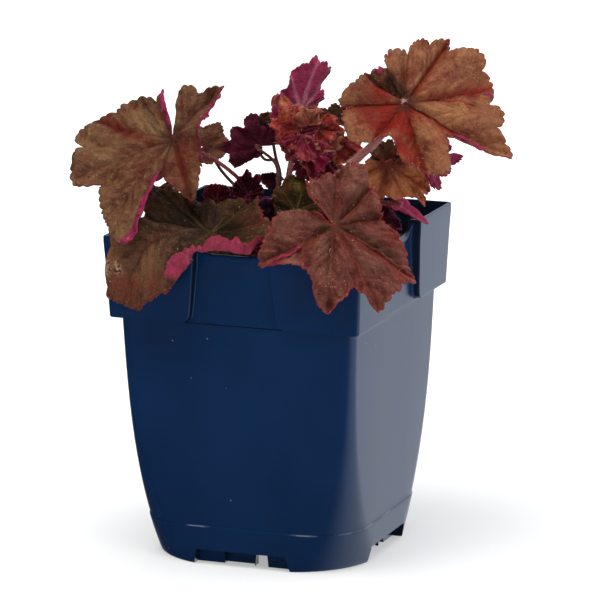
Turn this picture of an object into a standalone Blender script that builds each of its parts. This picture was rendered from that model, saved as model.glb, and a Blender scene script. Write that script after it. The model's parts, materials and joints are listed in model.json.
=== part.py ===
# Coral bells in a square nursery pot: the pot, its soil, the crown and one object for each leaf.
# Lengths in the tables are millimetres from the pot's own axis, with z up from the ground.

import math

import bmesh
import bpy
import numpy as np
from mathutils import Vector

MM = 0.001

# The pot's axis stands off the origin, so that the origin is below the middle of the whole plant.
POT_X, POT_Y = -10.8, 8.5

# Pot
RIM_HALF, COLLAR_HALF = 55.0, 53.3
POT_HEIGHT, COLLAR_FOOT = 135.0, 101.4
BODY_TOP_HALF, BASE_HALF = 50.2, 45.7
TOP_CORNER, BASE_CORNER = 5.0, 34.0
WALL, FLOOR_TOP, FLOOR_UNDER = 1.5, 9.2, 7.6
PANEL_STEP, DIP_DEPTH, DIP_END, BEAD_TALL = 3.9, 5.2, 6.5, 2.4
SEAM_HEIGHT, SEAM_STEP = 16.3, 0.35
SOIL_LEVEL, SOIL_GAP = 121.0, 0.3
CROWN_RADIUS, CROWN_FLOOR, CROWN_TOP = 12.6, 112.6, 122.4
BLADE, STEM_SIDES = 0.7, 6

for leftover in list(bpy.data.objects):
    bpy.data.objects.remove(leftover, do_unlink=True)


def make_material(name, colour, roughness):
    material = bpy.data.materials.new(name)
    material.use_nodes = True
    shader = material.node_tree.nodes["Principled BSDF"]
    shader.inputs["Base Color"].default_value = (*colour, 1.0)
    shader.inputs["Roughness"].default_value = roughness
    return material


def make_object(name, points, faces, material=None):
    """Points in millimetres from the pot's axis."""
    mesh = bpy.data.meshes.new(name)
    placed = [((x + POT_X) * MM, (y + POT_Y) * MM, z * MM) for x, y, z in points]
    mesh.from_pydata(placed, [], faces)
    mesh.validate()
    if material:
        mesh.materials.append(material)
    made = bpy.data.objects.new(name, mesh)
    bpy.context.scene.collection.objects.link(made)
    return made


def face_out(made):
    """Turns the faces round where they enclose a negative volume."""
    shape = bmesh.new()
    shape.from_mesh(made.data)
    if shape.calc_volume(signed=True) < 0:
        bmesh.ops.reverse_faces(shape, faces=shape.faces)
    shape.to_mesh(made.data)
    shape.free()


def apply_boolean(target, tools, operation):
    """One Boolean with all the tools, applied, and the tools removed."""
    group = bpy.data.collections.new("tools")
    for tool in tools:
        for owner in list(tool.users_collection):
            owner.objects.unlink(tool)
        group.objects.link(tool)
    bpy.context.scene.collection.children.link(group)
    cut = target.modifiers.new("cut", "BOOLEAN")
    cut.operand_type = "COLLECTION"
    cut.collection = group
    cut.operation = operation
    cut.solver = "EXACT"
    bpy.context.view_layer.update()
    graph = bpy.context.evaluated_depsgraph_get()
    result = bpy.data.meshes.new_from_object(target.evaluated_get(graph))
    target.modifiers.clear()
    target.data = result
    for tool in list(group.objects):
        bpy.data.objects.remove(tool, do_unlink=True)
    bpy.data.collections.remove(group)


# ---- pot ----


def body_half(z):
    return BASE_HALF + (BODY_TOP_HALF - BASE_HALF) * (max(z, 0) / COLLAR_FOOT) ** 0.9


def body_corner(z):
    return TOP_CORNER + (BASE_CORNER - TOP_CORNER) * max(0, 1 - z / COLLAR_FOOT) ** 2.9


def side_outline(half, corner, inset=0.0, step=0.0, gap=16.0, arc=5):
    """One side from its left corner on, facing -y. A step above 0 sets the middle back."""
    half -= inset
    corner = max(corner - inset, 0.8)
    centre = half - corner
    points = []
    for k in range(arc + 1):
        turn = math.radians(180 + 90 * k / arc)
        points.append((-centre + corner * math.cos(turn), -centre + corner * math.sin(turn)))
    edge = gap + inset
    flat = [-edge - 0.3, -edge + 0.3, -edge + 1.7, -edge + 5.5]
    flat += [0.0] + [-x for x in reversed(flat)]
    shrink = 1.0 if step or centre > 20 else (centre - 0.6) / (edge + 0.3)
    for k, x in enumerate(flat):
        back = step if 0 < k < len(flat) - 1 else 0.0
        points.append((x * shrink, -half + back))
    return points


def ring(outline, height):
    """The four sides of an outline. height gives each point its z from how far along it lies."""
    points = []
    for turn in range(4):
        for x, y in outline:
            z = height(x) if callable(height) else height
            for _ in range(turn):
                x, y = -y, x
            points.append((x, y, z))
    return points


def dip(drop, gap):
    """Heights along a rim that dips by drop between rounded ends."""

    def height(x):
        rest = max(0.0, gap - abs(x))
        round_end = min(1.0, rest / DIP_END)
        return POT_HEIGHT - drop * math.sqrt(max(0.0, 1 - (1 - round_end) ** 2)) ** 1.2

    return height


def loft(rings):
    count = len(rings[0])
    points = [p for one in rings for p in one]
    faces = []
    for k in range(len(rings) - 1):
        low, high = k * count, (k + 1) * count
        for i in range(count):
            j = (i + 1) % count
            faces.append((low + i, low + j, high + j, high + i))
    last = (len(rings) - 1) * count
    faces.append(tuple(reversed(range(count))))
    faces.append(tuple(range(last, last + count)))
    return points, faces


def pot_rings():
    """From the outer foot up to the rim, over it and down to the inner floor."""
    rings = []
    for z in (0.0, 6.0, SEAM_HEIGHT - 0.15):
        rings.append(ring(side_outline(body_half(z) + SEAM_STEP, body_corner(z)), z))
    for z in (SEAM_HEIGHT + 0.15, 30.0, 50.0, 76.0, COLLAR_FOOT):
        rings.append(ring(side_outline(body_half(z), body_corner(z)), z))
    gaps = ((COLLAR_FOOT, 20.6), (COLLAR_FOOT + 1.0, 18.8), (COLLAR_FOOT + 3.2, 18.0))
    for z, gap in gaps:
        half = COLLAR_HALF + (RIM_HALF - COLLAR_HALF) * (z - COLLAR_FOOT) / 33.6
        step = half - body_half(COLLAR_FOOT) - 0.5
        rings.append(ring(side_outline(half, 2.0, step=step, gap=gap), z))
    top = dip(DIP_DEPTH, 15.6)
    for below, bead in ((BEAD_TALL, 0.0), (BEAD_TALL - 0.5, 0.45), (0.0, 0.45)):
        outline = side_outline(RIM_HALF, 2.0, step=PANEL_STEP - bead, gap=15.6)
        rings.append(ring(outline, lambda x, below=below: top(x) - below))
    inner = side_outline(RIM_HALF, 2.0, inset=WALL, step=PANEL_STEP, gap=15.6)
    rings.append(ring(inner, top))
    rings.append(ring(inner, lambda x: top(x) - 4.0))
    inner = side_outline(COLLAR_HALF, 2.0, inset=WALL, step=2.6, gap=17.6)
    rings.append(ring(inner, COLLAR_FOOT + WALL))
    for z in (COLLAR_FOOT + WALL, 50.0, FLOOR_TOP):
        rings.append(ring(side_outline(body_half(z), body_corner(z), inset=WALL), z))
    return rings


def block(x0, x1, y0, y1, z0, z1, taper=0.0):
    """A box whose ends in x draw in by taper at the top."""
    points = [
        (x + (taper * (1 if x < (x0 + x1) / 2 else -1) if z == z1 else 0), y, z)
        for z in (z0, z1)
        for x, y in ((x0, y0), (x1, y0), (x1, y1), (x0, y1))
    ]
    faces = [(3, 2, 1, 0), (4, 5, 6, 7), (0, 1, 5, 4), (1, 2, 6, 5), (2, 3, 7, 6), (3, 0, 4, 7)]
    return points, faces


def turned(points, quarter):
    for _ in range(quarter):
        points = [(-y, x, z) for x, y, z in points]
    return points


def make_pot(material):
    points, faces = loft(pot_rings())
    pot = make_object("pot", points, faces, material)
    under = [
        ring(side_outline(BASE_HALF, BASE_CORNER, inset=6.4), z) for z in (-2.0, FLOOR_UNDER)
    ]
    cutters = [make_object("cutter", *loft(under))]
    ribs = []
    for quarter in range(4):
        for box in (
            block(-21.2, 21.2, -52.0, -BASE_HALF + 5.0, -2.0, 6.4, taper=2.0),
            block(-9.0, 4.0, -42.0, -37.9, -2.0, 6.4),
            block(4.0, 10.0, -42.0, -36.0, -2.0, 6.4, taper=0.8),
        ):
            cutters.append(make_object("cutter", turned(box[0], quarter), box[1]))
        for box in (
            block(-10.4, 4.0, -37.9, -36.4, 0.0, 8.2),
            block(-10.4, -9.0, -40.0, -36.8, 0.0, 8.2),
            block(10.0, 11.4, -39.6, -36.4, 0.0, 8.2),
        ):
            ribs.append(make_object("rib", turned(box[0], quarter), box[1]))
    for x, y in ((-17, -17), (17, -17), (17, 17), (-17, 17)):
        hole = [
            [
                (x + 4.5 * math.cos(k * math.pi / 5), y + 4.5 * math.sin(k * math.pi / 5), z)
                for k in range(10)
            ]
            for z in (5.0, 12.0)
        ]
        cutters.append(make_object("cutter", *loft(hole)))
    apply_boolean(pot, cutters, "DIFFERENCE")
    apply_boolean(pot, ribs, "UNION")
    face_out(pot)


# ---- soil and crown ----


def soil_height(x, y):
    lumps = 0.9 * math.sin(x * 0.31 + 1.0) * math.cos(y * 0.27) + 0.6 * math.sin(x * 0.7 - y * 0.53)
    return SOIL_LEVEL + lumps - 0.02 * max(abs(x), abs(y))


def make_soil(material):
    inset = WALL + SOIL_GAP
    rings = []
    for z in (FLOOR_TOP + SOIL_GAP, 50.0, COLLAR_FOOT + inset):
        rings.append(ring(side_outline(body_half(z), body_corner(z), inset=inset), z))
    shelf = side_outline(COLLAR_HALF, 2.0, inset=inset, step=2.9, gap=17.8)
    rings.append(ring(shelf, COLLAR_FOOT + inset))
    rim = side_outline(COLLAR_HALF + 0.9, 2.0, inset=inset, step=3.7, gap=17.0)
    rings.append([(x, y, soil_height(x, y)) for x, y, _ in ring(rim, 0)])
    edge = rings[-1]
    for share in (0.76, 0.5):
        inner = [(x * share, y * share) for x, y, _ in edge]
        rings.append([(x, y, soil_height(x, y)) for x, y in inner])
    points, faces = loft(rings)
    soil = make_object("soil", points, faces, material)
    pocket = [disc(0, 0, CROWN_RADIUS + SOIL_GAP, z, 20) for z in (CROWN_FLOOR - SOIL_GAP, 130.0)]
    apply_boolean(soil, [make_object("cutter", *loft(pocket))], "DIFFERENCE")
    face_out(soil)


def disc(x, y, radius, z, count):
    return [
        (x + radius * math.cos(2 * math.pi * k / count), y + radius * math.sin(2 * math.pi * k / count), z)
        for k in range(count)
    ]


def make_crown(material, stems):
    """A low woody knob with a blind hole for each stem."""
    rings = [
        disc(0, 0, radius, z, 20)
        for radius, z in (
            (CROWN_RADIUS, CROWN_FLOOR),
            (CROWN_RADIUS, CROWN_TOP - 2.8),
            (CROWN_RADIUS - 1.6, CROWN_TOP - 0.9),
            (CROWN_RADIUS - 6.0, CROWN_TOP),
        )
    ]
    crown = make_object("crown", *loft(rings), material)
    holes = []
    for (x, y), radius in stems:
        hole = [disc(x, y, radius + 0.4, z, 8) for z in (117.2, 130.0)]
        holes.append(make_object("cutter", *loft(hole)))
    apply_boolean(crown, holes, "DIFFERENCE")
    face_out(crown)


# ---- leaves ----


def spread(rows, per_row):
    """Rows between the given ones. Lobes swell out from a notch and draw in to the next."""
    found = []
    for one, two in zip(rows, rows[1:]):
        for k in range(per_row):
            share = k / per_row
            row = [a + (b - a) * share for a, b in zip(one, two)]
            if two[1] > one[1]:
                eased = math.sin(share * math.pi / 2)
            else:
                eased = 1 - math.cos(share * math.pi / 2)
            row[1] = one[1] + (two[1] - one[1]) * (0.5 * share + 0.5 * eased)
            found.append(row)
    found.append(list(rows[-1]))
    return found


def full_row(row):
    """angle, reach, rise, pull_out, pull_up, swing: a rib's end and the point that draws it."""
    angle, reach, rise = row[:3]
    defaults = (0.5 * reach, 0.3 * rise, 0.0)
    return (angle, reach, rise, *row[3:], *defaults[len(row) - 3:])


def between_veins(angle, veins):
    """0 on a main vein, 1 half way to the next."""
    gaps = sorted(abs(angle - vein) for vein in veins)
    return min(1.0, 2 * gaps[0] / (gaps[0] + gaps[1]))


def blade_points(leaf, share, row):
    angle, reach, rise, pull_out, pull_up, swing = row
    out = 2 * share * (1 - share) * pull_out + share**2 * reach
    up = 2 * share * (1 - share) * pull_up + share**2 * rise
    up += leaf["pleat"] * between_veins(angle, leaf["veins"]) * share
    out *= leaf.get("size", 1.0)
    turn = math.radians(angle + swing * share**2)
    return out * math.cos(turn), out * math.sin(turn), up


def leaf_axes(leaf):
    forward = Vector(leaf["mid"]).normalized()
    upward = Vector(leaf["top"])
    upward = (upward - forward * upward.dot(forward)).normalized()
    return forward, upward.cross(forward), upward


def make_blade(leaf, name, material):
    rows = spread([full_row(row) for row in leaf["rows"]], leaf["per_row"])
    shares = leaf["rings"]
    forward, side, upward = leaf_axes(leaf)
    start = Vector(leaf["at"])
    middle = [[start] * len(rows)]
    for share in shares:
        line = []
        for k, row in enumerate(rows):
            tooth = leaf["tooth"] * (1 if k % 2 else -1) * share**4
            row = (row[0], row[1] + tooth, *row[2:])
            x, y, z = blade_points(leaf, share, row)
            line.append(start + forward * x + side * y + upward * z)
        middle.append(line)
    count = len(rows)
    grid = np.array([[tuple(p) for p in line] for line in middle])
    along = np.gradient(grid, axis=0)
    across = np.gradient(grid, axis=1)
    across[0] = across[1]
    normals = np.cross(along, across)
    normals[0] = np.array(upward)
    normals /= np.linalg.norm(normals, axis=2, keepdims=True) + 1e-9
    top = grid + normals * BLADE / 2
    low = grid - normals * BLADE / 2
    points = [tuple(top[0][0]), tuple(low[0][0])]
    points += [tuple(p) for line in top[1:] for p in line]
    offset = len(points)
    points += [tuple(p) for line in low[1:] for p in line]

    def upper(ring_index, k):
        return 2 + (ring_index - 1) * count + k if ring_index else 0

    def lower(ring_index, k):
        return offset + (ring_index - 1) * count + k if ring_index else 1

    faces = []
    last = len(shares)
    for k in range(count - 1):
        faces.append((0, upper(1, k), upper(1, k + 1)))
        faces.append((1, lower(1, k + 1), lower(1, k)))
        for r in range(1, last):
            a, b, c, d = (r, k), (r + 1, k), (r + 1, k + 1), (r, k + 1)
            if (r + k) % 2:
                halves = ((a, b, c), (a, c, d))
            else:
                halves = ((a, b, d), (b, c, d))
            for half in halves:
                faces.append(tuple(upper(*corner) for corner in half))
                faces.append(tuple(lower(*corner) for corner in reversed(half)))
        faces.append((upper(last, k), lower(last, k), lower(last, k + 1)))
        faces.append((upper(last, k), lower(last, k + 1), upper(last, k + 1)))
    for k in (0, count - 1):
        for r in range(last):
            quad = [upper(r, k), lower(r, k), lower(r + 1, k), upper(r + 1, k)]
            if k:
                quad.reverse()
            faces.append(tuple(quad))
    blade = make_object(name, points, faces, material)
    face_out(blade)
    return blade


def curve_points(path, steps):
    """A smooth line through the path's points."""
    ends = [path[0] * 2 - path[1], *path, path[-1] * 2 - path[-2]]
    found = []
    for i in range(1, len(ends) - 2):
        a, b, c, d = ends[i - 1:i + 3]
        for k in range(steps):
            t = k / steps
            found.append(
                0.5 * (2 * b + (c - a) * t + (2 * a - 5 * b + 4 * c - d) * t**2
                       + (3 * b - a - 3 * c + d) * t**3)
            )
    found.append(path[-1])
    return found


def make_stem(name, path, thick, thin, steps=2, material=None):
    line = curve_points([Vector(p) for p in path], steps)
    rings = []
    reference = Vector((0.3, 1.0, 0.1)).normalized()
    for k, point in enumerate(line):
        ahead = line[min(k + 1, len(line) - 1)] - line[max(k - 1, 0)]
        ahead.normalize()
        reference = (reference - ahead * reference.dot(ahead)).normalized()
        other = ahead.cross(reference)
        radius = thick + (thin - thick) * k / (len(line) - 1)
        rings.append([
            tuple(point + (reference * math.cos(turn) + other * math.sin(turn)) * radius)
            for turn in (2 * math.pi * i / STEM_SIDES for i in range(STEM_SIDES))
        ])
    stem = make_object(name, *loft(rings), material)
    face_out(stem)
    return stem


def stem_path(leaf):
    """From its hole in the crown to just past the blade's heart."""
    x, y = leaf["root"]
    forward, side, upward = leaf_axes(leaf)
    end = Vector(leaf["at"])
    tip = end + (upward + forward * leaf.get("lean", 0.3)).normalized() * (BLADE / 2 + 0.35)
    below = end - (upward + forward * leaf.get("lean", 0.3)).normalized() * 4.0
    return [(x, y, 117.6), (x, y, 122.6), (x, y, 126.5), *leaf["via"], tuple(below), tuple(tip)]


def make_leaf(name, leaf, material):
    blade = make_blade(leaf, name, material)
    stem = make_stem("stem", stem_path(leaf), leaf["thick"], leaf["thin"])
    apply_boolean(blade, [stem], "UNION")
    face_out(blade)


def make_stalk(material):
    x, y = STALK["root"]
    path = [(x, y, 117.6), (x, y, 122.6), (x, y, 126.5), *STALK["main"]]
    stalk = make_stem("flower_stalk", path, STALK["thick"], STALK["thin"], material=material)
    parts = [make_stem("shoot", STALK["shoot"], STALK["thin"], STALK["thin"])]
    parts += [make_blade(leaf, name, material) for name, leaf in STALK_LEAVES.items()]
    apply_boolean(stalk, parts, "UNION")
    face_out(stalk)


BIG = {"per_row": 2, "rings": (0.3, 0.55, 0.78, 1.0), "tooth": 0.5, "pleat": 2.0}
SMALL = {"per_row": 1, "rings": (0.4, 0.72, 1.0), "tooth": 0.0, "pleat": 1.2}

# Rows go round a blade from one side of its sinus to the other:
# angle from the middle lobe, reach, rise, then the pull point and the swing where they matter.
LEAVES = {
    "leaf_left_high": {
        **BIG, "colour": "bronze", "size": 0.97,
        "at": (-36.0, -26.0, 170.4), "mid": (-0.08, -0.67, -0.74), "top": (-0.03, -0.74, 0.67),
        "root": (-4.1, -2.9), "via": ((-6.5, -2.0, 137.0), (-14.0, -5.5, 150.0), (-25.0, -14.0, 161.5)),
        "thick": 1.2, "thin": 0.8, "lean": -0.3,
        "veins": (-140, -95, -58, -18, 32, 95, 158),
        "rows": (
            (-158, 15, 2.5, 9, 0, 12), (-155, 22, 2.5, 12, 0, 8), (-152, 27, 1.5, 14, 0, 0),
            (-144, 25, 0), (-129, 28, -1), (-108, 31, -1), (-99, 36, 0), (-87, 43, 0),
            (-75, 39, 1), (-58, 46.5, 0), (-47, 42, 0), (-41, 35.5, 1), (-29, 40, 1),
            (-13, 45, 4), (-5, 53, 6), (-2, 42, 5), (1, 33, 6, 17, 0, -9), (4, 25, 5, 12, 0, -7),
            (8, 18, 1), (18, 22, 0), (33, 30, -2), (46, 24, -2), (73, 15, -1),
            (97, 13, 4, 13, -2), (118, 14, 4, 14, -2), (134, 19, 3, 16, -1), (148, 28, 1),
            (154, 31, 0), (166, 23.5, 1), (176, 25, 2), (186, 21, 2), (192, 15, 1),
        ),
    },
    "leaf_right_high": {
        **BIG, "colour": "bronze", "size": 0.975,
        "at": (57.0, -8.0, 187.4), "mid": (0.89, 0.12, -0.45), "top": (0.40, -0.69, 0.61),
        "root": (5.0, -0.7), "via": ((11.0, -3.0, 140.0), (25.0, -7.0, 153.0), (38.0, -10.0, 164.5), (48.0, -8.5, 175.0)),
        "thick": 1.8, "thin": 1.4, "lean": 0.5,
        "veins": (-190, -140, -100, -50, 0, 38, 78, 112),
        "rows": (
            (-213, 17, 0), (-195, 19, 1), (-180, 21, 1), (-165, 24, 0), (-151, 26.5, 0),
            (-145, 22, 1), (-135, 26, 0), (-119, 28.5, -1), (-104, 24, 0), (-92, 15.5, 2),
            (-78, 19, 1), (-64, 28.5, 0), (-47, 31, 0), (-31, 34.5, -1), (-20, 27, 0),
            (-11, 22.5, 1), (-6, 32, 2), (-2, 43, 0), (3, 49, -2), (9, 44, -1),
            (15, 38.5, 0), (23, 41, 0), (30, 34, 1), (42, 38, 0), (56, 36, 1), (66, 39, 0),
            (76, 35, 1), (83, 29, 2), (88, 34, 0), (103, 29.5, 1), (115, 23.5, 2), (122, 23, 1),
            (132, 22.5, 2), (141, 19.5, 2),
        ),
    },
    "leaf_left_low": {
        **BIG, "colour": "olive",
        "at": (-13.2, -42.0, 136.8), "mid": (-0.55, -0.83, 0.0), "top": (0.08, -0.05, 1.0),
        "root": (-3.9, -8.8), "via": ((-5.5, -17.0, 133.0), (-9.0, -30.0, 137.5)),
        "thick": 1.3, "thin": 1.0, "lean": 0.8,
        "veins": (-150, -90, -55, -18, 30, 95, 150, 200),
        "rows": (
            (-119, 20, 7), (-100, 24, 8), (-94, 35, 12), (-86, 38, 11), (-75, 36, 6),
            (-62, 29, 3), (-50, 28, 2), (-42, 34, 1, 24, 7), (-37.5, 37, 1.5, 28, 8),
            (-36, 39, 0, 29, 8), (-33, 40, -6, 31, 9), (-30, 41, -14, 34, 9),
            (-26, 41, -24, 36, 10), (-19, 34, -29, 33, 10), (-9, 29, -28, 30, 11),
            (-2, 25.5, -23, 27, 11), (8, 22.5, -19, 25, 10), (18, 21, -17, 24, 6),
            (25, 20, -13, 24, 5), (33, 18.5, -8, 26, -4), (40, 16.5, -3, 27, -10),
            (50, 14.5, 0, 27, -8), (61, 14, 2, 27, -6), (76, 15.5, 4, 29, -5),
            (92, 17.5, 5, 34, -4), (104, 20, 6, 34, -3), (116, 21, 6, 26, 0), (128, 20, 5),
            (150, 20.5, 7), (172, 21, 9), (196, 25, 12), (222, 24, 11), (236, 21, 10),
        ),
    },
    "leaf_front": {
        **BIG, "colour": "rose",
        "at": (42.0, -49.5, 144.8), "mid": (0.61, -0.36, -0.70), "top": (0.27, -0.74, 0.61),
        "root": (6.8, -6.4), "via": ((14.0, -17.0, 134.0), (29.0, -36.0, 140.0)),
        "thick": 1.3, "thin": 1.0, "lean": 0.8,
        "veins": (-150, -90, -38, 0, 30, 75, 122, 160),
        "rows": (
            (-156, 11, 1), (-134, 20, 1), (-110, 27, 0), (-95, 31, -1), (-84, 34, 0),
            (-73, 26, 2), (-60, 23, 3), (-46, 26, 3, 14, 3), (-40, 31, 1, 17, 5),
            (-30, 36.5, 0, 18, 6), (-20, 33, 0, 17, 6), (-12, 27, 2, 14, 5), (-6, 32, 1, 17, 6),
            (0, 40, -1, 20, 7), (10, 38, -1, 19, 6), (20, 37, 0, 18, 5), (27, 39.5, -1, 20, 5),
            (36, 32, 1, 16, 4), (50, 26.5, 0, 13, 3), (68, 18.5, 1), (84, 20, 0),
            (101, 21, 0), (117, 22.5, 1), (127, 28, 0), (140, 27, 1), (155, 23, 2),
            (170, 20, 2), (184, 21, 2), (192, 15, 1),
        ),
    },
    "leaf_upright": {
        **SMALL, "colour": "magenta",
        "at": (6.7, 6.0, 178.6), "mid": (0.22, 0.27, 0.94), "top": (-0.66, 0.75, -0.06),
        "root": (0.4, 5.0), "via": ((1.0, 6.0, 150.0),), "thick": 0.9, "thin": 0.8, "lean": 1.0,
        "veins": (-75, -38, 0, 25, 60), "pleat": -1.0,
        "rows": (
            (-105, 7, 1), (-75, 12, 1), (-51, 11.5, 0), (-38, 14, 0), (-30, 13, 0), (-21, 18.3, 0),
            (-10, 20, 0), (0, 23, 0), (11, 22, 0), (20, 22.5, 1), (27, 15.5, 0), (40, 12, 0),
            (52, 12.5, 1), (85, 8, 1), (110, 6, 1),
        ),
    },
    "leaf_dark_magenta": {
        **SMALL, "colour": "maroon",
        "at": (-6.0, -4.0, 165.2), "mid": (-0.84, -0.54, 0.07), "top": (-0.54, 0.84, -0.01),
        "root": (-0.4, -5.0), "via": ((1.0, -6.0, 145.0), (0.5, -5.0, 158.0)),
        "thick": 0.9, "thin": 0.7, "lean": -1.0,
        "veins": (-90, -50, -15, 30, 70, 110), "pleat": -1.0,
        "rows": (
            (-100, 3, 1), (-75, 4, 1), (-60, 6, 0), (-51, 9.5, 0), (-43, 14, 0), (-33, 13, 0),
            (-24, 14.7, 0), (-16, 13, 0), (-9, 16.1, 0), (7, 13, 0), (20, 13.4, 0), (30, 15, 0),
            (43, 12, 0), (56, 13.5, 0), (72, 14, 0), (92, 10.5, 1), (125, 10, 1), (150, 9.5, 1),
            (175, 7, 1),
        ),
    },
    "leaf_behind_left": {
        **SMALL, "colour": "olive",
        "at": (-35.0, 4.0, 161.9), "mid": (0.72, 0.56, 0.41), "top": (0.17, -0.71, 0.68),
        "root": (-9.3, 2.4), "via": ((-16.0, 5.0, 140.0), (-28.0, 6.0, 152.0)),
        "thick": 1.0, "thin": 0.8, "lean": -0.6,
        "veins": (-100, -45, 0, 40, 95),
        "rows": (
            (-150, 6, 1), (-107, 9, 0), (-70, 10, 0), (-33, 9.5, 0), (-13, 10.5, 0), (5, 10, 0),
            (18, 11.5, 0), (36, 12.4, 0), (56, 9, 0), (85, 8, 0), (120, 8, 1), (150, 6, 1),
        ),
    },
    "leaf_ruffled": {
        **SMALL, "colour": "russet",
        "at": (12.0, -8.0, 172.8), "mid": (0.58, -0.26, -0.77), "top": (0.39, -0.74, 0.55),
        "root": (3.2, -3.9), "via": ((5.0, -3.0, 150.0),), "thick": 1.2, "thin": 0.9, "lean": 0.5,
        "veins": (-170, -110, -60, -10, 40, 90, 135), "pleat": 2.6,
        "rows": (
            (-205, 10, 0), (-193, 12.7, -2), (-183, 17.7, 1), (-172, 18.7, 2), (-161, 15.1, -2),
            (-140, 12, 1), (-118, 9.7, 3), (-91, 10.4, -1), (-66, 11.2, 2), (-40, 9.5, 4),
            (-24, 17, 0), (-9, 19.1, -3), (6, 18.1, 2), (19, 17, 4), (33, 17, -1),
            (46, 18.5, -2), (65, 16.5, 3), (79, 12.5, 3), (99, 11, -1), (118, 12.5, 1),
            (135, 9.5, 2),
        ),
    },
    "leaf_small_olive": {
        **SMALL, "colour": "olive",
        "at": (23.1, 6.0, 174.3), "mid": (-0.68, 0.33, 0.65), "top": (0.19, -0.78, 0.60),
        "root": (4.2, 2.9), "via": ((8.0, 4.0, 150.0), (17.0, 6.5, 164.0)),
        "thick": 0.9, "thin": 0.7, "lean": -0.4,
        "veins": (-95, -40, 0, 40, 95),
        "rows": (
            (-150, 7, 1), (-110, 8, 0), (-75, 6.5, 1), (-39, 8, 0), (-20, 9, 0), (0, 8.3, 0),
            (21, 9.6, 0), (38, 7.5, 0), (75, 7, 1), (115, 8, 1), (150, 6, 1),
        ),
    },
    "leaf_below_right": {
        **SMALL, "colour": "russet",
        "at": (46.7, -0.5, 160.9), "mid": (0.56, -0.38, -0.73), "top": (0.37, -0.68, 0.64),
        "root": (9.0, -3.2), "via": ((17.0, -4.5, 137.0), (34.0, -3.0, 150.0)),
        "thick": 1.1, "thin": 0.9, "lean": 0.6,
        "veins": (-140, -90, -40, 0, 35, 85, 130), "pleat": 1.8,
        "rows": (
            (-160, 6, 0), (-125, 7.5, 0), (-108, 9.5, 0), (-93, 13, -1), (-76, 12.5, 0), (-61, 14, 1),
            (-48, 15, 1), (-37, 17, -1), (-27, 16, 2), (-17, 18.6, 0), (-5, 16.5, 1), (3, 16.5, 2),
            (10, 19, 0), (16, 23.6, -1), (23, 19, 1), (33, 20.4, 0), (45, 16, 1), (58, 15, 0),
            (80, 12, 1), (105, 11, 1), (135, 8, 1),
        ),
    },
    "leaf_pink_back": {
        **SMALL, "colour": "magenta",
        "at": (57.4, 14.0, 160.3), "mid": (0.89, 0.23, -0.40), "top": (-0.26, 0.96, -0.02),
        "root": (7.9, 5.4), "via": ((16.0, 11.0, 138.0), (38.0, 17.0, 153.0)),
        "thick": 1.0, "thin": 0.8, "lean": -1.0,
        "veins": (-85, -35, 0, 40, 85), "pleat": -1.0,
        "rows": (
            (-130, 5, 1), (-95, 6, 1), (-68, 8, 0), (-52, 12.5, 0), (-40, 9.5, 0), (-29, 15.4, 0),
            (-11, 10.4, 0), (2, 11.5, 0), (15, 10.6, 0), (25, 8.5, 0), (39, 13.7, 0), (55, 10.4, 0),
            (80, 7, 1), (120, 5, 1),
        ),
    },
    "leaf_crimson_tip": {
        **SMALL, "colour": "magenta",
        "at": (48.1, 2.0, 145.5), "mid": (0.59, 0.55, -0.59), "top": (-0.62, 0.78, 0.09),
        "root": (9.6, 1.1), "via": ((20.0, 2.0, 134.0), (37.0, 1.0, 144.0)),
        "thick": 0.9, "thin": 0.7, "lean": -0.6,
        "veins": (-60, 0, 60), "pleat": -0.8,
        "rows": (
            (-115, 3, 1), (-75, 4, 0), (-42, 6, 0), (-18, 11, 0), (-6, 16, 0), (0, 19.6, 0),
            (4, 15, 0), (10, 9, 0), (25, 5, 0), (70, 3.5, 0), (115, 3, 1),
        ),
    },
    "leaf_olive_inner": {
        **SMALL, "colour": "olive",
        "at": (15.5, -22.0, 143.0), "mid": (-0.46, 0.64, 0.62), "top": (0.14, -0.63, 0.76),
        "root": (3.2, -9.1), "via": ((9.2, -15.5, 131.0),), "thick": 1.0, "thin": 0.8, "lean": -0.6,
        "veins": (-130, -72, -25, 12, 60, 110), "pleat": 1.4,
        "rows": (
            (-150, 8, 1), (-111, 9.4, 1), (-72, 10, 0), (-53, 10.5, 1), (-35, 15, 0),
            (-16, 18, 0), (-2, 16.5, 1), (12, 20, 0), (30, 17, 0), (43, 13.5, 1), (60, 14, 0),
            (84, 11.5, 0), (115, 9, 1), (150, 8, 1),
        ),
    },
    "leaf_purple_low": {
        **SMALL, "colour": "maroon",
        "at": (1.5, -17.0, 132.5), "mid": (0.2, 0.35, 0.9), "top": (0.35, -0.88, 0.3),
        "root": (-0.4, -9.6), "via": ((0.0, -14.5, 128.0),), "thick": 1.0, "thin": 0.9, "lean": -0.3,
        "veins": (-100, -50, 0, 50, 100),
        "rows": (
            (-150, 6, 0), (-115, 6.5, 0), (-85, 6.5, 1), (-55, 7.5, 0), (-28, 9.5, 2), (0, 12.5, 2),
            (26, 11, 3), (52, 8.5, 1), (85, 6.5, 1), (120, 7, 1), (150, 6, 1),
        ),
    },
    "leaf_maroon_inner": {
        **SMALL, "colour": "maroon",
        "at": (37.5, 5.0, 131.0), "mid": (0.9, 0.25, 0.35), "top": (-0.2, -0.7, 0.68),
        "root": (5.6, 7.9), "via": ((14.0, 10.5, 127.5), (28.0, 8.0, 127.0)),
        "thick": 1.0, "thin": 0.8, "lean": 0.6,
        "veins": (-120, -55, 0, 50, 100),
        "rows": (
            (-150, 8, 1), (-105, 9, 0), (-80, 9, 0), (-55, 10, 1), (-28, 12, 0), (0, 12.5, 0),
            (26, 12, 0), (52, 13, 1), (80, 12, 0), (110, 11, 1), (150, 9, 1),
        ),
    },
    "leaf_young": {
        **SMALL, "colour": "maroon",
        "at": (-9.0, -12.0, 146.0), "mid": (0.05, 0.1, 0.99), "top": (0.35, -0.9, 0.2),
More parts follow.
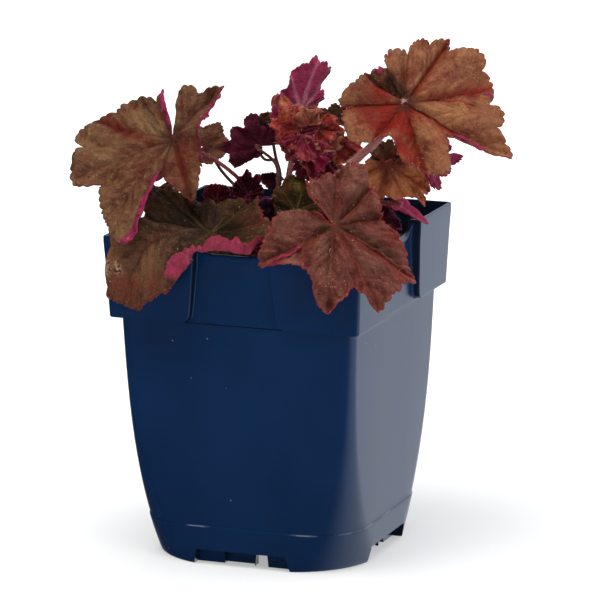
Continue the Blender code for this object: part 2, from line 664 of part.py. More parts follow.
        "root": (-8.0, -5.5), "via": ((-9.5, -10.0, 135.0),), "thick": 0.9, "thin": 0.7, "lean": -0.3,
        "veins": (-100, -45, -15, 25, 80),
        "rows": (
            (-140, 4, 1), (-100, 5, 0), (-65, 6.5, 1), (-38, 7, 0), (-22, 10, 0), (-8, 7.5, 1),
            (6, 11, 0), (18, 8.5, 0), (40, 8, 1), (70, 7, 0), (105, 5.5, 0), (140, 4, 1),
        ),
    },
    "leaf_red_curl": {
        **SMALL, "colour": "maroon",
        "at": (-27.0, -2.0, 141.5), "mid": (-0.2, 0.1, 0.95), "top": (0.35, -0.9, 0.2),
        "root": (-9.5, -1.6), "via": ((-17.0, -3.0, 131.0),), "thick": 0.9, "thin": 0.7, "lean": -0.3,
        "veins": (-80, -20, 40, 100),
        "rows": (
            (-130, 4, 1), (-85, 6, 1), (-50, 7, 3), (-20, 6, 3), (8, 6.5, 3), (35, 8, 2),
            (60, 9.5, 0), (85, 8, -1), (120, 5, 0),
        ),
    },
    "leaf_back_low": {
        **SMALL, "colour": "olive",
        "at": (-6.0, 27.0, 127.0), "mid": (-0.3, 0.93, 0.15), "top": (0.05, -0.15, 0.98),
        "root": (-1.7, 9.5), "via": ((-3.0, 15.0, 127.0),), "thick": 1.0, "thin": 0.8, "lean": 0.7,
        "veins": (-150, -95, -45, 0, 45, 95, 150),
        "rows": (
            (-165, 9, 1), (-130, 12, 1), (-100, 14, 1), (-72, 12, 2), (-45, 16, 1), (-22, 13, 2),
            (0, 17, 0), (22, 13, 2), (45, 16, 1), (72, 12, 2), (100, 14, 1), (130, 12, 1),
            (165, 9, 1),
        ),
    },
    "leaf_back_right": {
        **SMALL, "colour": "maroon",
        "at": (23.0, 29.0, 128.5), "mid": (0.62, 0.77, 0.1), "top": (-0.1, -0.1, 0.98),
        "root": (2.0, 9.4), "via": ((7.0, 16.0, 128.0),), "thick": 1.0, "thin": 0.8, "lean": 0.7,
        "veins": (-150, -95, -45, 0, 45, 95, 150),
        "rows": (
            (-165, 9, 1), (-130, 13, 1), (-102, 14, 1), (-72, 12, 2), (-45, 15, 1), (-22, 13, 2),
            (0, 16, 0), (22, 13, 2), (45, 15, 1), (72, 12, 2), (100, 13, 1), (130, 12, 1),
            (165, 9, 1),
        ),
    },
}

# A thin stalk with a side shoot, two small bracts and a dried leaf at its top.
STALK = {
    "root": (-4.3, 2.5),
    "main": ((-2.5, 3.0, 140.0), (-0.3, 1.5, 152.0), (-2.0, 1.0, 160.0), (-3.5, 1.5, 167.0),
             (-4.0, 1.2, 172.5)),
    "shoot": ((-2.0, 1.0, 159.0), (-6.0, -0.5, 159.0), (-8.5, -1.0, 162.0)),
    "thick": 0.8, "thin": 0.6,
}
STALK_LEAVES = {
    "dried": {
        **SMALL,
        "at": (-4.0, 1.2, 172.5), "mid": (-0.25, -0.1, 0.93), "top": (0.35, -0.9, 0.2),
        "veins": (-80, 0, 80),
        "rows": (
            (-140, 4, 0), (-95, 5, 1), (-60, 5.5, 2), (-30, 6, 2), (0, 6, 1), (30, 7, 0),
            (48, 9.5, 1), (70, 6, 1), (100, 4.5, 1), (140, 4, 0),
        ),
    },
    "bract": {
        **SMALL,
        "at": (-1.1, 2.0, 149.0), "mid": (-0.85, -0.4, 0.35), "top": (0.3, -0.9, 0.3),
        "veins": (-60, 0, 60),
        "rows": (
            (-120, 2.5, 0), (-60, 3.5, 1), (-25, 6, 1), (0, 8.5, 0), (25, 6, 1), (60, 3.5, 1),
            (120, 2.5, 0),
        ),
    },
}

SOIL_BROWN = make_material("soil_brown", (0.035, 0.022, 0.016), 0.95)
POT_BLUE = make_material("pot_blue", (0.008, 0.035, 0.12), 0.38)
CROWN_BROWN = make_material("crown_brown", (0.07, 0.03, 0.02), 0.85)
LEAF_COLOURS = {
    "bronze": make_material("leaf_bronze", (0.16, 0.075, 0.04), 0.5),
    "olive": make_material("leaf_olive", (0.085, 0.055, 0.025), 0.5),
    "rose": make_material("leaf_rose", (0.2, 0.065, 0.05), 0.5),
    "russet": make_material("leaf_russet", (0.22, 0.045, 0.02), 0.5),
    "magenta": make_material("leaf_magenta", (0.19, 0.012, 0.07), 0.5),
    "maroon": make_material("leaf_maroon", (0.06, 0.008, 0.02), 0.5),
}

make_pot(POT_BLUE)
make_soil(SOIL_BROWN)
make_crown(CROWN_BROWN, [(leaf["root"], leaf["thick"]) for leaf in (*LEAVES.values(), STALK)])
for leaf_name, leaf_data in LEAVES.items():
    make_leaf(leaf_name, leaf_data, LEAF_COLOURS[leaf_data["colour"]])
make_stalk(LEAF_COLOURS["maroon"])
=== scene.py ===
# Coral bells in a square nursery pot, dressed for a studio picture.
# Lengths in the settings are millimetres from the pot's own axis, with z up from the floor.

import json
import math

import bmesh
import bpy
import numpy as np
from mathutils import Matrix, Vector

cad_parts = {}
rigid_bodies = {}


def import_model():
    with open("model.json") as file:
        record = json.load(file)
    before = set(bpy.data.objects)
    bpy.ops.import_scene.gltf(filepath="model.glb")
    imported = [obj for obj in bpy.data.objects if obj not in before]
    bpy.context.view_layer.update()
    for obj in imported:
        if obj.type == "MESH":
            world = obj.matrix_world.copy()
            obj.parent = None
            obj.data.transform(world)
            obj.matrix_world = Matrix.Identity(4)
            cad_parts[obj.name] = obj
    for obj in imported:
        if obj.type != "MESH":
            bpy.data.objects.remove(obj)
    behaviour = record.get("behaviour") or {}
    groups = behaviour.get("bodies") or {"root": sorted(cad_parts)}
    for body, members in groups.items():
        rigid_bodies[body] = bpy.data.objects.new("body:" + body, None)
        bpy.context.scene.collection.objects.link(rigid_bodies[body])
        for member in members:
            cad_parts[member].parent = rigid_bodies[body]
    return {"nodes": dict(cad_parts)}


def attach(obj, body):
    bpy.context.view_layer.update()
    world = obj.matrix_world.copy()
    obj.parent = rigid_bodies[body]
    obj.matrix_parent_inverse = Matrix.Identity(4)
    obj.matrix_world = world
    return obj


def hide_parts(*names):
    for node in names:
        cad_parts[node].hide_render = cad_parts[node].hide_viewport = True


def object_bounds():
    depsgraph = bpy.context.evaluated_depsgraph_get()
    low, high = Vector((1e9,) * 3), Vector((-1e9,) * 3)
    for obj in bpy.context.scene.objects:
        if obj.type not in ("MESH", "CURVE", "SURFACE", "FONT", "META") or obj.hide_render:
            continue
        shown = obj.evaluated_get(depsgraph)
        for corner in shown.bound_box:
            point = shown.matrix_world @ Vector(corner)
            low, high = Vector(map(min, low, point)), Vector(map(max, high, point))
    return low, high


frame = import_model()
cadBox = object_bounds()
scene = bpy.context.scene
mm = 0.001
potAxis = np.array([-10.8, 8.5, 0.0])  # where the pot's axis stands in the frame
print("frame loaded:", len(frame["nodes"]), "nodes")


def newPiece(name, points, faces, materials):
    mesh = bpy.data.meshes.new(name)
    placed = (np.asarray(points, float) + potAxis) * mm
    mesh.from_pydata(placed.tolist(), [], faces)
    mesh.polygons.foreach_set("use_smooth", [True] * len(mesh.polygons))
    for material in materials:
        mesh.materials.append(material)
    piece = bpy.data.objects.new(name, mesh)
    scene.collection.objects.link(piece)
    return piece


def faceOut(piece):  # turns the faces round where they enclose a negative volume
    shape = bmesh.new()
    shape.from_mesh(piece.data)
    if shape.calc_volume(signed=True) < 0:
        bmesh.ops.reverse_faces(shape, faces=shape.faces)
    shape.to_mesh(piece.data)
    shape.free()


def storeMask(mesh, name, values):
    mask = mesh.attributes.new(name, "FLOAT", "POINT")
    mask.data.foreach_set("value", np.asarray(values, np.float32))


def loft(rings):  # rings of equal count, closed with a cap at both ends
    count = len(rings[0])
    points = [point for one in rings for point in one]
    faces = []
    for k in range(len(rings) - 1):
        low, high = k * count, (k + 1) * count
        for i in range(count):
            j = (i + 1) % count
            faces.append((low + i, low + j, high + j, high + i))
    faces.append(tuple(reversed(range(count))))
    faces.append(tuple(range(len(points) - count, len(points))))
    return points, faces


def cutWith(target, tools, operation):
    group = bpy.data.collections.new("tools")
    scene.collection.children.link(group)
    for tool in tools:
        scene.collection.objects.unlink(tool)
        group.objects.link(tool)
    cut = target.modifiers.new("cut", "BOOLEAN")
    cut.operand_type = "COLLECTION"
    cut.collection = group
    cut.operation = operation
    cut.solver = "EXACT"
    applyModifiers(target)
    for tool in list(group.objects):
        bpy.data.objects.remove(tool, do_unlink=True)
    bpy.data.collections.remove(group)


def applyModifiers(piece):
    bpy.context.view_layer.update()
    graph = bpy.context.evaluated_depsgraph_get()
    made = bpy.data.meshes.new_from_object(piece.evaluated_get(graph), depsgraph=graph)
    piece.modifiers.clear()
    piece.data = made


def joined(name, pieces):
    with bpy.context.temp_override(
        active_object=pieces[0], object=pieces[0],
        selected_objects=pieces, selected_editable_objects=pieces,
    ):
        bpy.ops.object.join()
    pieces[0].name = name
    return pieces[0]


def faceCount(*pieces):
    return sum(len(piece.data.polygons) for piece in pieces)


rippleSettings = {"waves": 9, "shortest": 0.7, "longest": 1.5, "phase": 6.3, "level": 4.2}


def ripple(x, y, size, seed):  # smooth random waves about size mm long, between -1 and 1
    s = rippleSettings
    draw = np.random.default_rng(seed)
    total = np.zeros_like(x)
    for _ in range(s["waves"]):
        turn = draw.uniform(0, 2 * math.pi)
        rate = 2 * math.pi / (size * draw.uniform(s["shortest"], s["longest"]))
        along = x * math.cos(turn) + y * math.sin(turn)
        total += np.sin(along * rate + draw.uniform(0, s["phase"]))
    return total / s["level"]


def unitAt(angle):  # the direction at an angle in degrees
    turn = math.radians(angle)
    return np.array([math.cos(turn), math.sin(turn)])


# helpers for shader trees and geometry trees
def newTree(name, kind, inputs, outputs):
    tree = bpy.data.node_groups.new(name, kind)
    for way, sockets in (("INPUT", inputs), ("OUTPUT", outputs)):
        for label, shape, *value in sockets:
            shape = "NodeSocket" + shape
            socket = tree.interface.new_socket(label, in_out=way, socket_type=shape)
            if value:
                socket.default_value = value[0]
    return tree, tree.nodes.new("NodeGroupInput"), tree.nodes.new("NodeGroupOutput")


def addNode(tree, kind, settings=None, **inputs):
    node = tree.nodes.new(kind)
    for label, value in (settings or {}).items():
        setattr(node, label, value)
    for label, value in inputs.items():
        connect(tree, value, node.inputs[label.replace("_", " ")])
    return node


def connect(tree, value, socket):
    if isinstance(value, bpy.types.NodeSocket):
        tree.links.new(value, socket)
    elif value is not None:
        socket.default_value = value


def mixColour(tree, amount, one, two):
    node = tree.nodes.new("ShaderNodeMix")
    node.data_type = "RGBA"
    connect(tree, amount, node.inputs[0])
    connect(tree, one, node.inputs[6])
    connect(tree, two, node.inputs[7])
    return node.outputs[2]


def maths(tree, how, one, two=None, three=None):
    node = tree.nodes.new("ShaderNodeMath")
    node.operation = how
    for value, socket in zip((one, two, three), node.inputs):
        connect(tree, value, socket)
    return node.outputs[0]


def vectorMaths(tree, how, *given):
    node = addNode(tree, "ShaderNodeVectorMath", {"operation": how})
    for value, socket in zip(given, node.inputs):
        connect(tree, value, socket)
    return node.outputs["Value" if how in ("DOT_PRODUCT", "LENGTH") else "Vector"]


def ranged(tree, value, lowIn, highIn, lowOut=0.0, highOut=1.0):
    node = tree.nodes.new("ShaderNodeMapRange")
    node.interpolation_type = "SMOOTHSTEP"
    for number, given in enumerate((value, lowIn, highIn, lowOut, highOut)):
        connect(tree, given, node.inputs[number])
    return node.outputs[0]


def placeNode(tree):  # object coordinates in millimetres
    spot = tree.nodes.new("ShaderNodeTexCoord")
    sized = tree.nodes.new("ShaderNodeMapping")
    sized.inputs["Scale"].default_value = (1 / mm,) * 3
    tree.links.new(spot.outputs["Object"], sized.inputs["Vector"])
    return sized.outputs["Vector"]


def noiseNode(tree, place, rate, detail=3.0, rough=0.55):
    node = addNode(
        tree, "ShaderNodeTexNoise", {"noise_dimensions": "3D"},
        Vector=place, Scale=rate, Detail=detail, Roughness=rough,
    )
    return node.outputs["Fac"]


def maskNode(tree, name):
    return addNode(tree, "ShaderNodeAttribute", {"attribute_name": name}).outputs["Fac"]


def principled(name):
    material = bpy.data.materials.new(name)
    material.use_nodes = True
    tree = material.node_tree
    return material, tree, tree.nodes["Principled BSDF"]


def bumped(tree, shader, height, depth):
    bump = addNode(tree, "ShaderNodeBump", Strength=1.0, Distance=depth * mm, Height=height)
    tree.links.new(bump.outputs["Normal"], shader.inputs["Normal"])


def colour(red, green, blue):  # from the 0 to 255 of a picture to linear
    shares = (part / 255 for part in (red, green, blue))
    return (*(((s + 0.055) / 1.055) ** 2.4 if s > 10 / 255 else s / 12.92 for s in shares), 1.0)


def makeSpeckGroup():  # small dust specks, as a mask
    tree, start, end = newTree(
        "dustSpecks", "ShaderNodeTree",
        (("Place", "Vector", (0, 0, 0)), ("Rate", "Float", 0.3), ("Size", "Float", 0.12),
         ("Share", "Float", 0.3)),
        (("Mask", "Float"),),
    )
    cells = addNode(
        tree, "ShaderNodeTexVoronoi", {"feature": "F1"},
        Vector=start.outputs["Place"], Scale=start.outputs["Rate"], Randomness=1.0,
    )
    near = maths(tree, "LESS_THAN", cells.outputs["Distance"], start.outputs["Size"])
    split = addNode(tree, "ShaderNodeSeparateColor", Color=cells.outputs["Color"])
    chosen = maths(tree, "LESS_THAN", split.outputs[0], start.outputs["Share"])
    tree.links.new(maths(tree, "MULTIPLY", near, chosen), end.inputs["Mask"])
    return tree


dustSpecks = makeSpeckGroup()


def specks(tree, place, rate, size, share):
    node = tree.nodes.new("ShaderNodeGroup")
    node.node_tree = dustSpecks
    for label, value in (("Place", place), ("Rate", rate), ("Size", size), ("Share", share)):
        connect(tree, value, node.inputs[label])
    return node.outputs["Mask"]


# half widths, heights and corner radii of the pot
potSettings = {
    "rimHalf": 55.0, "collarHalf": 53.3, "height": 135.0, "collarFoot": 101.4,
    "collarTall": 33.6, "bodyTopHalf": 50.2, "baseHalf": 45.7, "bodySwell": 0.9,
    "topCorner": 5.0, "baseCorner": 34.0, "cornerDraw": 2.9, "rimCorner": 2.0,
    "leastCorner": 0.8, "cornerFaces": 14, "wall": 1.5, "floorTop": 9.2, "floorUnder": 7.6,
    "footWide": 6.4, "cutFrom": -2.0, "rimInside": 128.0, "panelStep": 3.9, "panelSlope": 0.9,
    "dipHalf": 15.6, "dipDepth": 5.2, "dipEnd": 7.0, "beadTall": 2.4, "beadProud": 0.5,
    "seamHeight": 16.3, "seamStep": 0.35, "drainAway": 17.0, "drainRadius": 4.5,
    "drainSpan": (5.0, 12.0), "sharpAngle": 38,
}
panelOffsets = (  # where points lie beside the edge of a side's low middle
    -0.9, -0.55, -0.3, -0.1, 0.1, 0.3, 0.55, 0.9, 1.5, 2.3, 3.2, 4.2, 5.4, 6.8, 9.0, 12.0,
)
footCuts = (  # boxes cut from the foot of each side: x, y and z from and to, and the taper
    (-21.2, 21.2, -52.0, -40.7, -2.0, 6.4, 2.0),
    (-9.0, 4.0, -42.0, -37.9, -2.0, 6.4, 0.0),
    (4.0, 10.0, -42.0, -36.0, -2.0, 6.4, 0.8),
)
footRibs = (
    (-10.4, 4.0, -37.9, -36.4, 0.0, 8.2, 0.0),
    (-10.4, -9.0, -40.0, -36.8, 0.0, 8.2, 0.0),
    (10.0, 11.4, -39.6, -36.4, 0.0, 8.2, 0.0),
)


def bodyHalf(z):
    s = potSettings
    rise = (max(z, 0) / s["collarFoot"]) ** s["bodySwell"]
    return s["baseHalf"] + (s["bodyTopHalf"] - s["baseHalf"]) * rise


def bodyCorner(z):
    s = potSettings
    fall = max(0, 1 - z / s["collarFoot"]) ** s["cornerDraw"]
    return s["topCorner"] + (s["baseCorner"] - s["topCorner"]) * fall


def sideOutline(half, corner, inset=0.0, step=0.0, gap=16.0):
    # one side from its left corner on, facing -y, with its middle set back by step
    s = potSettings
    half -= inset
    corner = max(corner - inset, s["leastCorner"])
    centre = half - corner
    points = []
    for k in range(s["cornerFaces"] + 1):
        turn = math.radians(180 + 90 * k / s["cornerFaces"])
        points.append((-centre + corner * math.cos(turn), -centre + corner * math.sin(turn)))
    edge, slope = gap + inset, s["panelSlope"]
    flat = [-edge + offset for offset in panelOffsets]
    flat += [0.0] + [-x for x in reversed(flat)]
    shrink = min(1.0, (centre - 0.3) / (edge + slope))
    for x in flat:
        share = min(1.0, max(0.0, (edge + slope / 2 - abs(x)) / slope))
        points.append((x * shrink, -half + step * share * share * (3 - 2 * share)))
    return points


def fourSides(outline, height):
    points = []
    for quarter in range(4):
        for x, y in outline:
            z = height(x) if callable(height) else height
            for _ in range(quarter):
                x, y = -y, x
            points.append((x, y, z))
    return points


def rimHeight(below):  # a rim that dips between rounded ends, less below
    s = potSettings

    def height(x):
        roundEnd = min(1.0, max(0.0, s["dipHalf"] - abs(x)) / s["dipEnd"])
        drop = s["dipDepth"] * math.sqrt(max(0.0, 1 - (1 - roundEnd) ** 2)) ** 1.2
        return s["height"] - drop - below

    return height


def potRings():
    s = potSettings
    foot, seam, lip, corner = s["collarFoot"], s["seamHeight"], s["beadTall"], s["rimCorner"]
    rings = []

    def body(z, proud=0.0, inset=0.0):
        rings.append(fourSides(sideOutline(bodyHalf(z) + proud, bodyCorner(z), inset=inset), z))

    step = s["seamStep"]
    for z, proud in ((0.0, -0.4), (0.12, -0.12), (0.4, 0.0)):
        body(z, step + proud)
    for z in (2.0, 4.5, 7.5, 11.0, 14.5, seam - 0.35):
        body(z, step)
    for z, proud in ((seam - 0.12, 0.85), (seam, 0.5), (seam + 0.12, 0.15)):
        body(z, step * proud)
    for z in (seam + 0.35, 18.5, 21, 24, 27, 30, 34, 38, 43, 49, 56, 64, 73, 82, 91, 98):
        body(z)
    body(foot - 0.4)
    body(foot - 0.1, 0.08)

    collar = (  # height over the collar's foot, half width of the low middle, draw in
        (0.0, 21.2, 2.0), (0.0, 21.0, 0.5), (0.12, 20.9, 0.18), (0.45, 20.4, 0.0),
        (0.8, 19.6, 0.0), (1.4, 18.9, 0.0), (2.2, 18.5, 0.0), (3.2, 18.2, 0.0),
        (5.0, 17.9, 0.0), (9.0, 17.5, 0.0), (14.0, 17.0, 0.0), (19.0, 16.5, 0.0),
        (23.0, 16.1, 0.0),
    )
    for up, gap, pull in collar:
        z = foot + up
        half = s["collarHalf"] + (s["rimHalf"] - s["collarHalf"]) * (z - foot) / s["collarTall"]
        back = half - bodyHalf(foot) - 0.5 - pull
        rings.append(fourSides(sideOutline(half - pull, corner, step=back, gap=gap), z))

    bead = (  # height under the rim, share of the bead's depth, inset
        (lip + 0.25, 0.0, 0.0), (lip + 0.05, 0.1, 0.0), (lip - 0.2, 0.8, 0.0),
        (lip - 0.45, 1.0, 0.0), (1.2, 1.0, 0.0), (0.5, 1.0, 0.0), (0.18, 0.9, 0.12),
        (0.0, 0.5, 0.45),
    )
    wall = s["wall"]
    inner = ((0.0, wall - 0.3), (0.15, wall - 0.06), (0.5, wall), (2.5, wall), (5.0, wall))
    for below, share, inset in (*bead, *((below, 0.0, inset) for below, inset in inner)):
        back = s["panelStep"] - share * s["beadProud"]
        outline = sideOutline(s["rimHalf"], corner, inset=inset, step=back, gap=s["dipHalf"])
        rings.append(fourSides(outline, rimHeight(below)))
    for share in (0.33, 0.66, 1.0):
        half = s["rimHalf"] + (s["collarHalf"] - s["rimHalf"]) * share
        back, gap = s["panelStep"] - 1.3 * share, s["dipHalf"] + 2 * share
        outline = sideOutline(half, corner, inset=wall, step=back, gap=gap)
        height = s["rimInside"] + (foot + wall - s["rimInside"]) * share
        rings.append(fourSides(outline, height))
    for z in (foot + wall, 75.0, 50.0, 30.0, 20.0, s["floorTop"] + 1.2):
        body(z, inset=wall)
    body(s["floorTop"], inset=wall + 1.2)
    return rings


def block(name, box, quarter, material):
    x0, x1, y0, y1, z0, z1, taper = box
    points = []
    for z in (z0, z1):
        for x, y in ((x0, y0), (x1, y0), (x1, y1), (x0, y1)):
            if z == z1:
                x += taper * (1 if x < (x0 + x1) / 2 else -1)
            for _ in range(quarter):
                x, y = -y, x
            points.append((x, y, z))
    faces = [(3, 2, 1, 0), (4, 5, 6, 7), (0, 1, 5, 4), (1, 2, 6, 5), (2, 3, 7, 6), (3, 0, 4, 7)]
    return newPiece(name, points, faces, [material])


def disc(x, y, radius, z, count=28):
    turns = (2 * math.pi * k / count for k in range(count))
    return [(x + radius * math.cos(turn), y + radius * math.sin(turn), z) for turn in turns]


def makePot(material):
    s = potSettings
    pot = newPiece("potShell", *loft(potRings()), [material])
    hollow = sideOutline(s["baseHalf"], s["baseCorner"], inset=s["footWide"])
    under = [fourSides(hollow, z) for z in (s["cutFrom"], s["floorUnder"])]
    cutters = [newPiece("cutter", *loft(under), [material])]
    ribs = []
    for quarter in range(4):
        cutters += [block("cutter", box, quarter, material) for box in footCuts]
        ribs += [block("rib", box, quarter, material) for box in footRibs]
    away = s["drainAway"]
    for x, y in ((-away, -away), (away, -away), (away, away), (-away, away)):
        hole = [disc(x, y, s["drainRadius"], z) for z in s["drainSpan"]]
        cutters.append(newPiece("cutter", *loft(hole), [material]))
    cutWith(pot, cutters, "DIFFERENCE")
    cutWith(pot, ribs, "UNION")
    faceOut(pot)
    pot.data.set_sharp_from_angle(angle=math.radians(s["sharpAngle"]))
    return pot


potTints = {
    "navy": (2, 37, 76), "deep": (1, 33, 68), "scuff": (96, 108, 126), "dust": (112, 108, 104),
    # the inside tint is painted shade for the inner walls, the tint after it a painted shadow
    # under the collar
    "inside": (8, 22, 36), "collarShadow": (0, 12, 32),
}
potFinish = {
    "rough": 0.21, "roughSpread": 0.03, "scuffHalf": 0.28, "scuffShare": 0.8,
    "collarShadowHalf": 0.32, "collarShadowShare": 0.8,
    "specks": (0.13, 0.04, 0.22), "grainRate": 1.1, "grainDepth": 0.004,
}


def makePotMaterial():
    s = potFinish
    tones = {key: colour(*tint) for key, tint in potTints.items()}
    material, tree, shader = principled("potBlue")
    place = placeNode(tree)
    streaks = addNode(tree, "ShaderNodeMapping", Vector=place, Scale=(1.0, 1.0, 0.02))
    tone = noiseNode(tree, streaks.outputs["Vector"], 0.45)
    cloud = noiseNode(tree, place, 0.02)
    blue = mixColour(tree, ranged(tree, cloud, 0.35, 0.65), tones["navy"], tones["deep"])
    height = addNode(tree, "ShaderNodeSeparateXYZ", Vector=place).outputs["Z"]
    nearSeam = maths(tree, "COMPARE", height, potSettings["seamHeight"] - 0.1, s["scuffHalf"])
    patchy = ranged(tree, noiseNode(tree, place, 0.05, 4.0), 0.5, 0.66)
    worn = maths(tree, "MULTIPLY", maths(tree, "MULTIPLY", nearSeam, patchy), s["scuffShare"])
    # painted shadow: a thin dark band just under the collar's foot
    nearFoot = maths(tree, "COMPARE", height, potSettings["collarFoot"] - 0.3, s["collarShadowHalf"])
    paintedCollarShadow = maths(tree, "MULTIPLY", nearFoot, s["collarShadowShare"])
    # painted shade: faces turned towards the pot's axis, the inner walls, take the dark inside
    # tint
    outward = vectorMaths(
        tree, "DOT_PRODUCT", vectorMaths(tree, "MULTIPLY", place, (1, 1, 0)),
        addNode(tree, "ShaderNodeNewGeometry").outputs["Normal"],
    )
    for amount, tint in (
        (worn, "scuff"), (specks(tree, place, *s["specks"]), "dust"), (paintedCollarShadow, "collarShadow"),
        (ranged(tree, outward, 0.0, -12.0), "inside"),
    ):
        blue = mixColour(tree, amount, blue, tones[tint])
    tree.links.new(blue, shader.inputs["Base Color"])
    rough = ranged(tree, tone, 0.3, 0.7, s["rough"], s["rough"] + s["roughSpread"])
    tree.links.new(rough, shader.inputs["Roughness"])
    bumped(tree, shader, noiseNode(tree, place, s["grainRate"], 2.0), s["grainDepth"])
    return material


potBlue = makePotMaterial()
potShell = makePot(potBlue)
print("pot:", faceCount(potShell), "faces")


# what every blade starts from, before a leaf's own settings
bigLeaf = {
    "spacing": 0.6, "rings": 52, "pleat": 2.4, "bank": 1.6, "toothWide": 3.9, "toothTall": 1.5,
    "branches": 5, "puff": 0.75, "sway": 1.5, "frill": 1.0, "lee": 0.35,
}
smallLeaf = {
    "spacing": 0.54, "rings": 26, "pleat": 1.5, "bank": 0.9, "toothWide": 2.6, "toothTall": 1.3,
    "branches": 3, "puff": 0.6, "sway": 0.9, "frill": 1.0, "lee": 0.6,
}
bladeThick = 0.5
maskWidths = {
    "vein": 0.5, "branch": 0.4, "puff": 1.8, "lee": 3.2, "bank": 2.6, "rim": 0.45, "core": 4.5,
}
waveLengths = {"sway": 17, "pucker": 3.6, "frill": 8.0, "fold": 4.0}


def fullRow(row):  # angle, reach, rise, pull out, pull up, swing
    defaults = (0.5 * row[1], 0.3 * row[2], 0.0)
    return (*row, *defaults[len(row) - 3:])


def softened(values, width):
    reach = int(3 * width) + 1
    weights = np.exp(-0.5 * (np.arange(-reach, reach + 1) / width) ** 2)
    padded = np.pad(values, reach, mode="reflect", reflect_type="odd")
    return np.convolve(padded, weights / weights.sum(), mode="valid")


def toothEdge(length, wide, draw):  # scallops with sharp notches, as a share of their height
    starts = [0.0]
    while starts[-1] < length[-1]:
        starts.append(starts[-1] + wide * draw.uniform(0.55, 1.5))
    starts = np.array(starts)
    heights = draw.uniform(0.5, 1.4, len(starts))
    found = np.clip(np.searchsorted(starts, length, side="right") - 1, 0, len(starts) - 2)
    part = (length - starts[found]) / (starts[found + 1] - starts[found])
    bump = np.sin(np.pi * np.clip(part, 0, 1) ** 0.8) ** 0.55
    return (bump - 0.7) * heights[found]


def eased(one, two, part):  # a lobe swells out from a notch and draws in to the next
    curve = np.where(two > one, np.sin(part * np.pi / 2), 1 - np.cos(part * np.pi / 2))
    return one + (two - one) * (0.5 * part + 0.5 * curve)


def marginColumns(leaf):
    # columns spaced evenly along the margin, from the leaf's given rows
    rows = np.array([fullRow(row) for row in leaf["rows"]], float)
    fine = 30
    t = np.arange((len(rows) - 1) * fine + 1) / fine
    low = np.minimum(t.astype(int), len(rows) - 2)
    part = t - low
    columns = rows[low] + (rows[low + 1] - rows[low]) * part[:, None]
    columns[:, 1] = eased(rows[low, 1], rows[low + 1, 1], part)
    pull = softened(columns[:, 3] / columns[:, 1], 0.3 * fine)
    for k in (2, 4, 5):
        columns[:, k] = softened(columns[:, k], 0.3 * fine)
    for run in leaf.get("margin", ()):  # stretches of the margin measured more finely
        angles, reaches = np.array(run, float).T
        inside = (columns[:, 0] >= angles[0]) & (columns[:, 0] <= angles[-1])
        at = columns[inside, 0]
        k = np.clip(np.searchsorted(angles, at, side="right") - 1, 0, len(angles) - 2)
        share = (at - angles[k]) / (angles[k + 1] - angles[k])
        columns[inside, 1] = eased(reaches[k], reaches[k + 1], share)
    columns[:, 3] = pull * columns[:, 1]
    turn = np.radians(columns[:, 0])
    x, y = columns[:, 1] * np.cos(turn), columns[:, 1] * np.sin(turn)
    moved = np.hypot(np.diff(x), np.diff(y)) + 0.12 * np.abs(np.diff(columns[:, 0]))
    length = np.concatenate([[0], np.cumsum(moved)])
    wanted = np.linspace(0, length[-1], int(length[-1] / leaf["spacing"]))
    return np.array([np.interp(wanted, length, columns[:, k]) for k in range(6)]), wanted


def leafAxes(leaf):
    forward = np.array(leaf["mid"], float) / np.linalg.norm(leaf["mid"])
    upward = np.array(leaf["top"], float)
    upward -= forward * (upward @ forward)
    upward /= np.linalg.norm(upward)
    return forward, np.cross(upward, forward), upward


def veinLines(leaf, reachAt, draw):
    # short segments of the main veins and of their branches, on the leaf laid flat
    mains, branches = [], []
    for vein in leaf["veins"]:
        length = 0.95 * reachAt(vein)
        bow = draw.uniform(-5, 5)
        along = np.linspace(0, 1, 9)
        turn = np.radians(vein + bow * (along - along**2) * 2)
        line = np.stack([length * along * np.cos(turn), length * along * np.sin(turn)], 1)
        mains += [(a, b, 1.0 - 0.6 * k / 8) for k, (a, b) in enumerate(zip(line, line[1:]))]
        base = unitAt(vein)
        for k in range(leaf["branches"]):
            for hand in (-1, 1):
                start = 0.18 + 0.66 * (k + 0.5 * (hand > 0)) / leaf["branches"]
                start += draw.uniform(-0.03, 0.03)
                far = (1.06 - start) * length * 0.62
                heading = math.radians(vein + hand * draw.uniform(36, 52))
                spot = base * start * length
                for piece in range(4):
                    ahead = spot + far / 4 * np.array([math.cos(heading), math.sin(heading)])
                    branches.append((spot, ahead, 1.0 - 0.2 * piece))
                    spot = ahead
                    heading -= hand * math.radians(5)
    return mains, branches


def nearLines(points, lines):  # distance to the nearest segment, and that segment's weight
    best = np.full(len(points), 1e9)
    weight = np.ones(len(points))
    for start, end, strength in lines:
        way = end - start
        share = np.clip(((points - start) @ way) / (way @ way), 0, 1)
        away = np.hypot(*(points - start - share[:, None] * way).T)
        closer = away < best
        best[closer] = away[closer]
        weight[closer] = strength
    return best, weight


def patches(x, y, given):  # soft round patches: angle, reach, radius, strength
    total = np.zeros_like(x)
    for angle, reach, radius, strength in given:
        px, py = reach * unitAt(angle)
        away = (x - px) ** 2 + (y - py) ** 2
        total += strength * np.exp(-((away / radius**2) ** 1.5))
    return total


def bands(x, y, given):  # painted shade on one side of a line: both ends, width, hand, strength
    total = np.zeros_like(x)
    for angle, reach, farAngle, farReach, width, hand, strength in given:
        start = reach * unitAt(angle)
        way = farReach * unitAt(farAngle) - start
        length = math.hypot(*way)
        dx, dy = x - start[0], y - start[1]
        share = np.clip((dx * way[0] + dy * way[1]) / length**2, 0, 1)
        away = np.hypot(dx - share * way[0], dy - share * way[1])
        over = hand * (way[0] * dy - way[1] * dx) / length
        fade = np.exp(-((away / width) ** 2)) * np.clip(over / 0.6 + 0.5, 0, 1)
        total = np.maximum(total, strength * fade)
    return total


